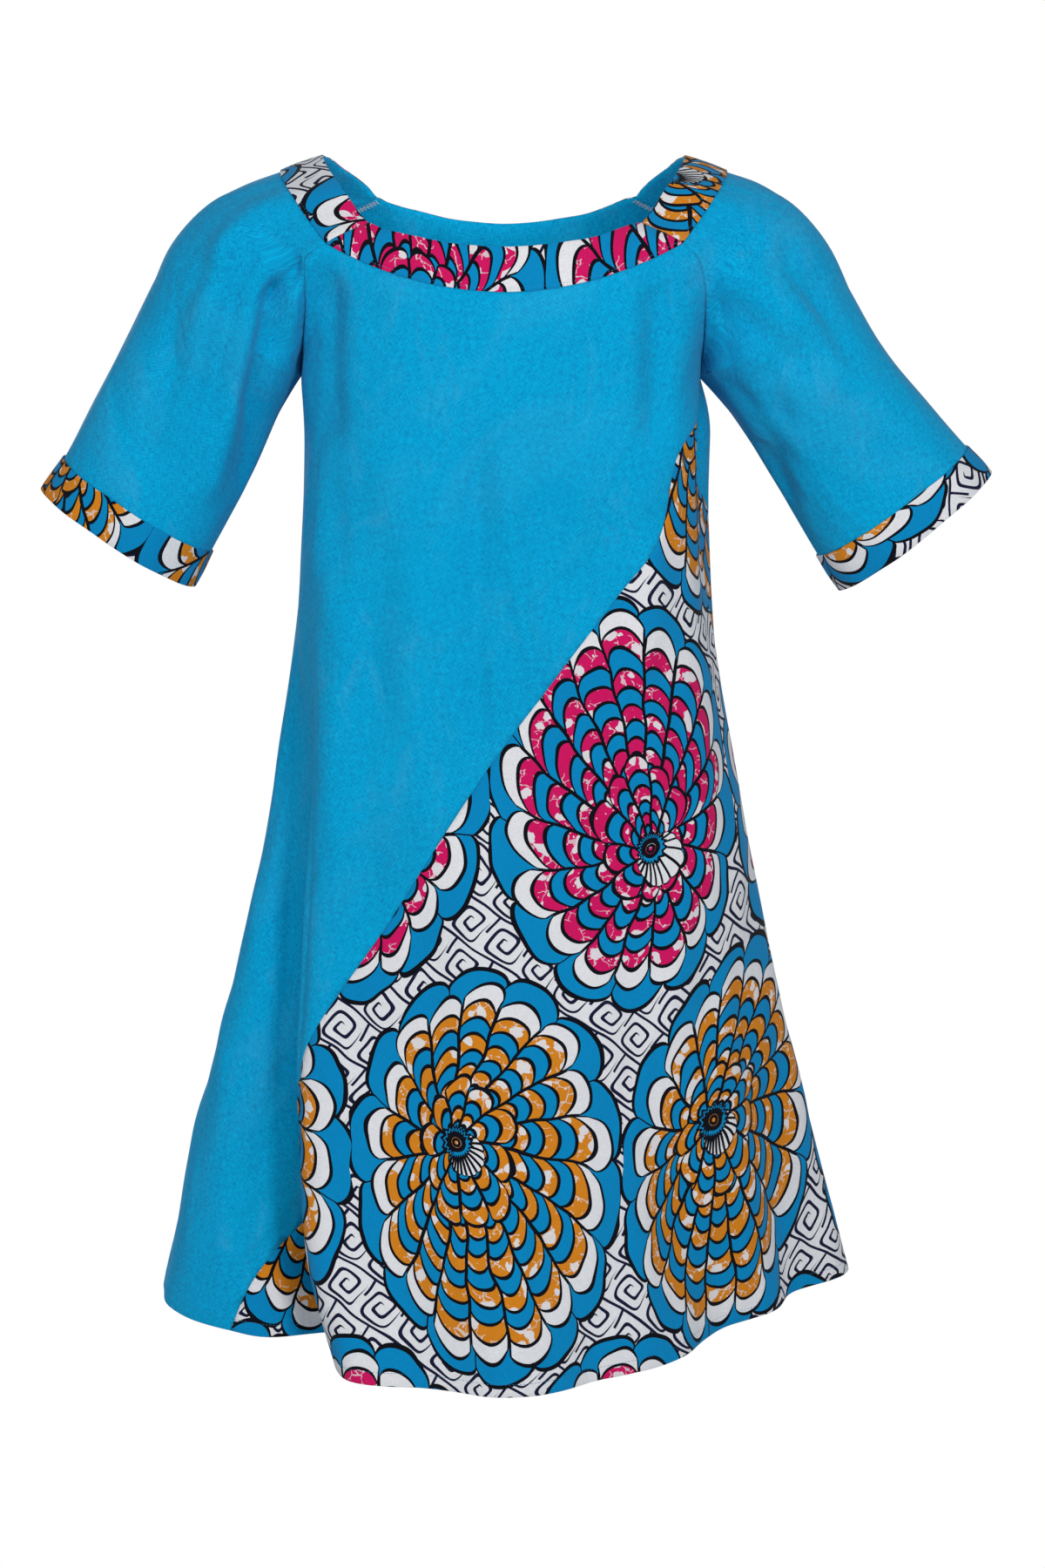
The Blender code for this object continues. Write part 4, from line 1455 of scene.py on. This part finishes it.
@dataclass
class ClothPiece:
    """One cut piece of cloth: a level grid of shares and rows, to be laid on its skin.

    Rows before top_row and past foot_row are turned under: the first such row is the half turn,
    and each one after it stands for turned_rows of cloth lying back along the skin.
    """

    name: str
    skin: Skin
    grid: bmesh.types.BMesh
    lay: Lay
    top_row: float
    foot_row: float
    lift: float = 0.0  # how far its outer face stands off the skin
    rolled: float = HEM_ROLL  # from the outer face to the face turned under it
    turned_rows: float = 0.05
    crown: float = 0.0  # how much a band rises between its two edges
    straight: bool = False  # whether the top edge of its cut is a straight line
    seam: list = None
    flat: tuple = field(init=False)  # the sides of the cut's box
    area: float = field(init=False)
    cloth: bpy.types.Object = field(init=False)

    def build(self, material: bpy.types.Material, slot: str) -> "ClothPiece":
        """Lay the grid on its skin, give it thickness and finish it, in place of its solid.

        Args:
            material: the cloth's finish.
            slot: not used.

        Returns:
            This piece.
        """
        self.grid.verts.ensure_lookup_table()
        shares, rows = np.array([vertex.co[:2] for vertex in self.grid.verts]).T
        points, cut = self.place(rows, shares)
        top = np.full(len(cut), self.top_row)
        straight = cut[:, 1] - self.skin.at(top, shares, self.skin.cut)[:, 1]
        if self.straight:
            cut[:, 1] = straight
        self.flat = (float(np.ptp(cut[:, 0])), float(np.ptp(straight)))
        self.area = self.lay_on_bolt(self.lay.on_bolt(cut))
        for vertex, point in zip(self.grid.verts, points):
            vertex.co = point
        if self.skin.outward < 0:
            bmesh.ops.reverse_faces(self.grid, faces=self.grid.faces)
        self.cloth = finished(self.name + "_cloth", self.grid, material)
        wall = self.cloth.modifiers.new("thickness", "SOLIDIFY")
        wall.thickness = CLOTH
        wall.offset = -1.0
        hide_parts(self.name)
        LOG.info("%s: cut %.3f x %.3f m, %.4f m2", self.name, *self.flat, self.area)
        return self

    def lay_on_bolt(self, cut: np.ndarray) -> float:
        """Write the cut into the grid's UV map.

        Args:
            cut: each vertex's place on the bolt.

        Returns:
            The area of the cut.
        """
        layer = self.grid.loops.layers.uv.new("cut")
        area = 0.0
        for face in self.grid.faces:
            ring = [cut[vertex.index] for vertex in face.verts]
            for loop, place in zip(face.loops, ring):
                loop[layer].uv = place
            ahead = ring[1:] + ring[:1]
            area += abs(sum(a[0] * b[1] - b[0] * a[1] for a, b in zip(ring, ahead))) / 2
        return float(area)

    def declare(self, sewn: list) -> None:
        """Take what is sewn on the piece, and do nothing with it."""

    def place(self, rows: np.ndarray, shares: np.ndarray) -> tuple:
        """Where points of the piece lie.

        Args:
            rows: rows, with what is turned under before top_row or past foot_row.
            shares: shares of each row.

        Returns:
            The points in space and in the cut.
        """
        above = np.clip(self.top_row - rows, 0, None)
        below = np.clip(rows - self.foot_row, 0, None)
        past = above + below
        half_turn = np.clip(past, 0, 1)
        fold = np.clip(rows, self.top_row, self.foot_row)
        there = fold + np.clip(past - 1, 0, None) * self.turned_rows * np.sign(above - below)
        points, normals, downs = self.skin.stand(there, shares)
        cut, at_fold = [self.skin.at(place, shares, self.skin.cut) for place in (there, fold)]
        cut[:, 1] = 2 * at_fold[:, 1] - cut[:, 1]
        cut[:, 1] += np.sign(above - below) * half_turn * self.rolled * pi / 2
        inside = past == 0
        cut[inside] = at_fold[inside]
        share = (fold - self.top_row) / (self.foot_row - self.top_row)
        off = self.lift - self.rolled * (1 - np.cos(pi * half_turn)) / 2
        off += self.crown * np.sin(pi * share) - self.groove(there, shares)
        out = np.sin(pi * half_turn) * self.rolled / 2 * np.sign(below - above)
        return points + normals * off[:, None] + downs * out[:, None], cut

    def groove(self, rows: np.ndarray, shares: np.ndarray) -> np.ndarray:
        """How far the seams pull the cloth in."""
        skin = self.skin
        near = skin.near_seam(rows, shares)
        if self.seam:
            first = self.seam[0].row
            across = smooth_columns(self.seam, np.clip(rows, first, HEM_ROW))[:, 0]
            here, there = [skin.at(rows, place, skin.cut)[:, 0] for place in (shares, across)]
            gap = np.where(rows < first, 1.0, np.abs(here - there) * SEAM_SLOPE)
            near = np.maximum(near, np.exp(-((gap / SEAM_WIDTH) ** 2)))
        return SEAM_DEPTH * near


# ---------------------------------------------------------------- sewing


@dataclass(frozen=True)
class Line:
    """A line of sewing on a skin, from one (row, share) to another, sampled evenly."""

    skin: Skin
    rows: np.ndarray
    shares: np.ndarray
    height: float  # above the skin
    inset: float = 0.0  # moved down the skin by this many metres

    def points(self) -> tuple:
        """The line's points and the outward normals there."""
        points, normals, downs = self.skin.stand(self.rows, self.shares)
        height = self.height - SEAM_DEPTH * self.skin.near_seam(self.rows, self.shares)
        return points + normals * height[:, None] + downs * self.inset, normals


@dataclass(frozen=True)
class Stitching:
    """A run of lockstitch: short dashes of thread, each sunk a little at its ends."""

    pitch: float = 0.0030
    length: float = 0.0023
    width: float = 0.00042
    thickness: float = 0.00030
    margin: float = 0.12  # of the pitch, on either side of a stitch

    def add(self, mesh: bmesh.types.BMesh, line: Line) -> int:
        """Sew one line.

        Args:
            mesh: the mesh that holds the stitches.
            line: where it runs.

        Returns:
            How many stitches it took.
        """
        points, normals = line.points()
        run = run_along(points)
        count = int(run[-1] / self.pitch)
        first, last = [
            (np.arange(count) + share) * self.pitch for share in (self.margin, 1 - self.margin)
        ]
        starts, stops = [read_along(places, run, points.T) for places in (first, last)]
        for start, stop, out in zip(starts, stops, read_along(first, run, normals.T)):
            self.stitch(mesh, (Vector(start), Vector(stop)), Vector(out), self.length)
        return count

    def stitch(self, mesh: bmesh.types.BMesh, ends: tuple, out: Vector, length: float) -> None:
        """Lay one stitch.

        Args:
            mesh: the mesh that holds the stitches.
            ends: two points between which it lies.
            out: the cloth's outward normal.
            length: the stitch's length.
        """
        along = (ends[1] - ends[0]).normalized()
        aside = out.cross(along).normalized()
        turn = Matrix((along * length / 2, aside * self.width / 2,
                       along.cross(aside) * self.thickness / 2)).transposed().to_4x4()
        turn.translation = (ends[0] + ends[1]) / 2
        bmesh.ops.create_uvsphere(mesh, u_segments=6, v_segments=4, radius=1.0, matrix=turn)


@dataclass(frozen=True)
class Overlock(Stitching):
    """Thread that runs to and fro over a seam's raw edge, on the inside."""

    pitch: float = 0.0016
    reach: float = 0.0065

    def add(self, mesh: bmesh.types.BMesh, line: Line) -> int:
        """Sew to and fro between a seam and a line beside it.

        Args:
            mesh: the mesh that holds the stitches.
            line: the seam.

        Returns:
            How many stitches it took.
        """
        skin = line.skin
        run = run_along(line.points()[0])
        count = int(run[-1] / self.pitch)
        places = np.arange(count + 1) * self.pitch
        rows, shares = read_along(places, run, (line.rows, line.shares)).T
        first, last = [skin.at(rows, np.full(count + 1, end), skin.cut) for end in (0.0, 1.0)]
        inward = np.where(shares < 0.5, 1, -1) * self.reach / (last - first)[:, 0]
        shares[1::2] += inward[1::2]
        seam, outs = Line(skin, rows, shares, line.height).points()
        for number in range(count):
            ends = (Vector(seam[number]), Vector(seam[number + 1]))
            self.stitch(mesh, ends, Vector(outs[number]), (ends[1] - ends[0]).length)
        return count


# ---------------------------------------------------------------- the dress


LINE_STEPS = 300  # along a line of edge stitches
RAGLAN_STEPS = 200  # and along a raglan seam
RAGLAN_ENDS = (0.06, UNDERARM_ROW - 0.1)  # the rows between which it is overlocked

SEWN_ON = {
    "neckband_front": ["neck_front"],
    "neckband_back": ["neck_back"],
    "neckband_right": ["neck_right"],
    "neckband_left": ["neck_left"],
    "cuff_right": ["cuff_right"],
    "cuff_left": ["cuff_left"],
    "front_print": ["hem_front"],
    "back_print": ["hem_back"],
    "front_plain": ["front_right", "front_left"],
    "back_plain": ["back_right", "back_left"],
}


def body_skin(side: Side, creases: list) -> Skin:
    """The skin of the front or the back."""
    return Skin(lambda row, shares: body_row(row, side, shares), HEM_ROW, side.value, creases)


def sleeve_skin(hand: Hand, creases: list) -> Skin:
    """The skin of one sleeve."""
    return Skin(lambda row, shares: sleeve_row(row, hand, shares), SLEEVE_END_ROW, -hand.value,
                creases)


@dataclass
class Dress:
    """The whole dress: skins, cut pieces, sewing and finishes."""

    cell: float = 0.0050  # between rows
    columns: int = 168  # over the front or the back
    sleeve_columns: int = 96
    band_columns: int = 110

    def __post_init__(self) -> None:
        """Trace the four skins and join them along their seams."""
        self.front = body_skin(Side.FRONT, FRONT_CREASES)
        self.back = body_skin(Side.BACK, BACK_CREASES)
        self.right = sleeve_skin(Hand.RIGHT, RIGHT_SLEEVE_CREASES)
        self.left = sleeve_skin(Hand.LEFT, LEFT_SLEEVE_CREASES)
        for body, end in ((self.front, 0), (self.back, -1)):
            join_normals(body, 0, self.right, end, 0.0, UNDERARM_ROW)
            join_normals(body, -1, self.left, end, 0.0, UNDERARM_ROW)
        for end in (0, -1):
            join_normals(self.front, end, self.back, end, UNDERARM_ROW, HEM_ROW)
        for sleeve in (self.right, self.left):
            join_normals(sleeve, 0, sleeve, -1, UNDERARM_ROW, SLEEVE_END_ROW)

    def finishes(self) -> None:
        """Make the cloths' finishes and the threads'."""
        weave, rumple, pattern = Weave().build(), Rumple().build(), WaxPrint().build()
        # name, roughness, sheen, bump of the weave, bump of the rumples
        plain = PlainCotton("plain_cotton", 0.9, 0.06, 0.35, 0.7)
        printed = PrintedCotton("printed_cotton", 0.85, 0.08, 0.2, 0.45, pattern=pattern)
        self.plain, self.print = [finish.build(weave, rumple) for finish in (plain, printed)]
        self.blue_thread = SewingThread("blue_thread", linear(20, 120, 170)).build()
        self.white_thread = SewingThread("white_thread", linear(225, 225, 222)).build()

    def body(self) -> list:
        """Cut the front and the back, each in two along its diagonal seam."""
        pieces = []
        hem = [*HALF_TURN, 2.0, 3.0, 4.0]
        for side, skin, seam, plain_lay, print_lay in (
            ("front", self.front, FRONT_SEAM, Lay(turn=0.78), Lay(*PRINT_START)),
            ("back", self.back, BACK_SEAM, Lay(0.31, 0.17), Lay(0.115, -0.02)),
        ):
            rows = row_lines(skin, PANEL_TOP, HEM_ROW, self.cell, [], hem)
            for name, below, lay, finish, slot in (
                (f"{side}_plain", False, plain_lay, self.plain, "plain_cloth"),
                (f"{side}_print", True, print_lay, self.print, "wax_print"),
            ):
                first = seam[0].row - PRINT_ROWS_ABOVE if below else 0.0
                grid = body_grid(self.columns, rows[rows >= first], seam, below)
                piece = ClothPiece(name, skin, grid, lay, PANEL_TOP, HEM_ROW, seam=seam,
                                   turned_rows=HEM_TURN_ROWS)
                pieces.append(piece.build(finish, slot))
        return pieces

    def sleeves(self) -> list:
        """Cut the two sleeves, which run on under the cuffs."""
        pieces = []
        for name, skin, lay in (("sleeve_right", self.right, Lay(0.7, 0.2, 0.5)),
                                ("sleeve_left", self.left, Lay(1.2, 0.4, -0.5))):
            rows = row_lines(skin, PANEL_TOP, SLEEVE_CLOTH_END, self.cell, [], [])
            grid = flat_grid(self.sleeve_columns, rows)
            piece = ClothPiece(name, skin, grid, lay, PANEL_TOP, SLEEVE_CLOTH_END)
            pieces.append(piece.build(self.plain, "plain_cloth"))
        return pieces

    def bands(self) -> list:
        """Cut the four pieces of the neckband and the two cuffs, with their edges turned."""
        pieces = []
        turned = [*HALF_TURN, 2.0, 3.0]
        for name, skin, top, foot, lay in (
            ("neckband_front", self.front, 0.0, BAND_ROW, Lay(0.078, 0.036)),
            ("neckband_back", self.back, BAND_TOP, BAND_ROW, Lay(0.0, 0.05)),
            ("neckband_right", self.right, BAND_TOP, BAND_ROW, Lay(0.124, 0.478)),
            ("neckband_left", self.left, BAND_TOP, BAND_ROW, Lay(0.14, 0.315)),
            ("cuff_right", self.right, CUFF_ROW, SLEEVE_END_ROW, Lay(0.114, 0.285)),
            ("cuff_left", self.left, CUFF_ROW, SLEEVE_END_ROW, Lay(0.024, 0.13, -pi / 2)),
        ):
            rows = row_lines(skin, top, foot, BAND_CELL, turned, turned)
            grid = flat_grid(self.band_columns, rows)
            piece = ClothPiece(name, skin, grid, lay, top, foot, BAND_LIFT, BAND_ROLL,
                               BAND_TURN_ROWS, BAND_CROWN, straight=True)
            pieces.append(piece.build(self.print, "wax_print"))
        return pieces

    def sewing(self) -> dict:
        """Edge-stitch the bands and the hem in blue, and overlock the raglan seams in white."""
        skins = {"front": self.front, "back": self.back, "right": self.right, "left": self.left}
        shares = np.linspace(0.0, 1.0, LINE_STEPS)
        rows = np.linspace(*RAGLAN_ENDS, RAGLAN_STEPS)
        sewn = {}
        for edge, names, row, height, inset in (
            # the edge, the skins it runs over, their row, above the skin, down from the row
            ("neck", ("front", "back", "right", "left"), BAND_ROW, BAND_LIFT, -0.0022),
            ("cuff", ("right", "left"), CUFF_ROW, BAND_LIFT, 0.0030),
            ("hem", ("front", "back"), HEM_ROW, 0.0, -0.0100),
        ):
            for name in names:
                line = Line(skins[name], np.full(LINE_STEPS, row), shares, height, inset)
                here = f"{edge}_{name}"
                sewn[here] = self.sew(f"stitches_{here}", Stitching(), line, self.blue_thread)
        for name in ("front", "back"):
            for end, share in (("right", 0.0), ("left", 1.0)):
                line = Line(skins[name], rows, np.full(RAGLAN_STEPS, share), -INSIDE)
                here = f"{name}_{end}"
                sewn[here] = self.sew(f"overlock_{here}", Overlock(), line, self.white_thread)
        return sewn

    def sew(self, name: str, kind: Stitching, line: Line,
            thread: bpy.types.Material) -> bpy.types.Object:
        """Sew one line as an object of its own.

        Args:
            name: the object's name.
            kind: the stitch.
            line: where it runs.
            thread: the thread.

        Returns:
            The stitches.
        """
        mesh = bmesh.new()
        LOG.info("%s: %d stitches", name, kind.add(mesh, line))
        return finished(name, mesh, thread)

    def build(self) -> None:
        """Make the finishes, every piece and the sewing."""
        self.finishes()
        pieces = self.body() + self.sleeves() + self.bands()
        sewn = self.sewing()
        for piece in pieces:
            piece.declare([sewn[name] for name in SEWN_ON.get(piece.name, [])])


# ---------------------------------------------------------------- studio


@dataclass(frozen=True)
class Lamp:
    """One square soft light, which the camera does not see."""

    name: str
    place: tuple
    aim: tuple
    size: float  # the length of its side
    watts: float
    tint: tuple = (1.0, 0.98, 0.95)

    def build(self) -> None:
        """Hang the lamp where it lights its aim."""
        data = bpy.data.lights.new(self.name, "AREA")
        data.size = self.size
        data.energy = self.watts
        data.color = self.tint
        lamp = bpy.data.objects.new(self.name, data)
        lamp.location = self.place
        facing = Vector(self.aim) - Vector(self.place)
        lamp.rotation_euler = facing.to_track_quat("-Z", "Y").to_euler()
        lamp.visible_camera = False
        bpy.context.scene.collection.objects.link(lamp)


LAMPS = table(Lamp, [
    # name place aim size watts
    ("key", (1.30, -3.2, 0.10), (0.0, 0.0, -0.5), 0.6, 55.5),
    ("fill", (-1.7, -2.9, 0.20), (0.0, 0.0, -0.5), 1.6, 19.0),
    ("top", (0.1, -1.5, 1.1), (0.05, 0.1, -0.02), 0.5, 10.0),
    ("low", (-2.1, -2.3, -0.9), (-0.2, 0.0, -0.65), 0.9, 10.0),
    ("inside", (0.0, 0.0, -0.10), (0.0, 0.05, 0.2), 0.04, 0.18),
    ("back", (-1.0, 3.2, 0.2), (0.0, 0.0, -0.5), 1.2, 45.0),
])


@dataclass(frozen=True)
class Studio:
    """White all round, with lamps in front on both sides, above, inside and behind."""

    eye: tuple = (0.0151, -3.130, 0.1603)
    look_down: float = radians(78.0)
    lens: float = 88.9
    film: float = 36.0
    world_light: float = 0.45
    world_tint: tuple = (0.80, 0.91, 1.0, 1.0)

    def camera(self) -> None:
        """Look slightly down on the dress from the front."""
        data = bpy.data.cameras.new("camera")
        data.sensor_fit = "VERTICAL"
        data.sensor_height = self.film
        data.lens = self.lens
        camera = bpy.data.objects.new("camera", data)
        camera.location = self.eye
        camera.rotation_euler = (self.look_down, 0.0, 0.0)
        bpy.context.scene.collection.objects.link(camera)
        bpy.context.scene.camera = camera

    def world(self) -> None:
        """White behind the dress, and even light from all round."""
        world = bpy.data.worlds.new("studio")
        world.use_nodes = True
        bpy.context.scene.world = world
        tree = world.node_tree
        tree.nodes.clear()
        white = add(tree, "Background", {"Color": (1.0, 1.0, 1.0, 1.0), "Strength": 1.0})
        soft = add(tree, "Background", {"Color": self.world_tint, "Strength": self.world_light})
        seen = add(tree, "LightPath", {}).outputs["Is Camera Ray"]
        mix = add(tree, "MixShader", {"Fac": seen, 1: soft.outputs[0], 2: white.outputs[0]})
        add(tree, "OutputWorld", {"Surface": mix.outputs[0]})

    def build(self) -> None:
        """Set the camera, the world and the lamps, and show colours as they are."""
        bpy.context.scene.view_settings.view_transform = "Standard"
        self.camera()
        self.world()
        for lamp in LAMPS:
            lamp.build()


def main() -> None:
    """Build the studio and the dress."""
    logging.basicConfig(level=logging.INFO, format="%(name)s: %(message)s")
    Studio().build()
    Dress().build()


if __name__ == "__main__":
    main()
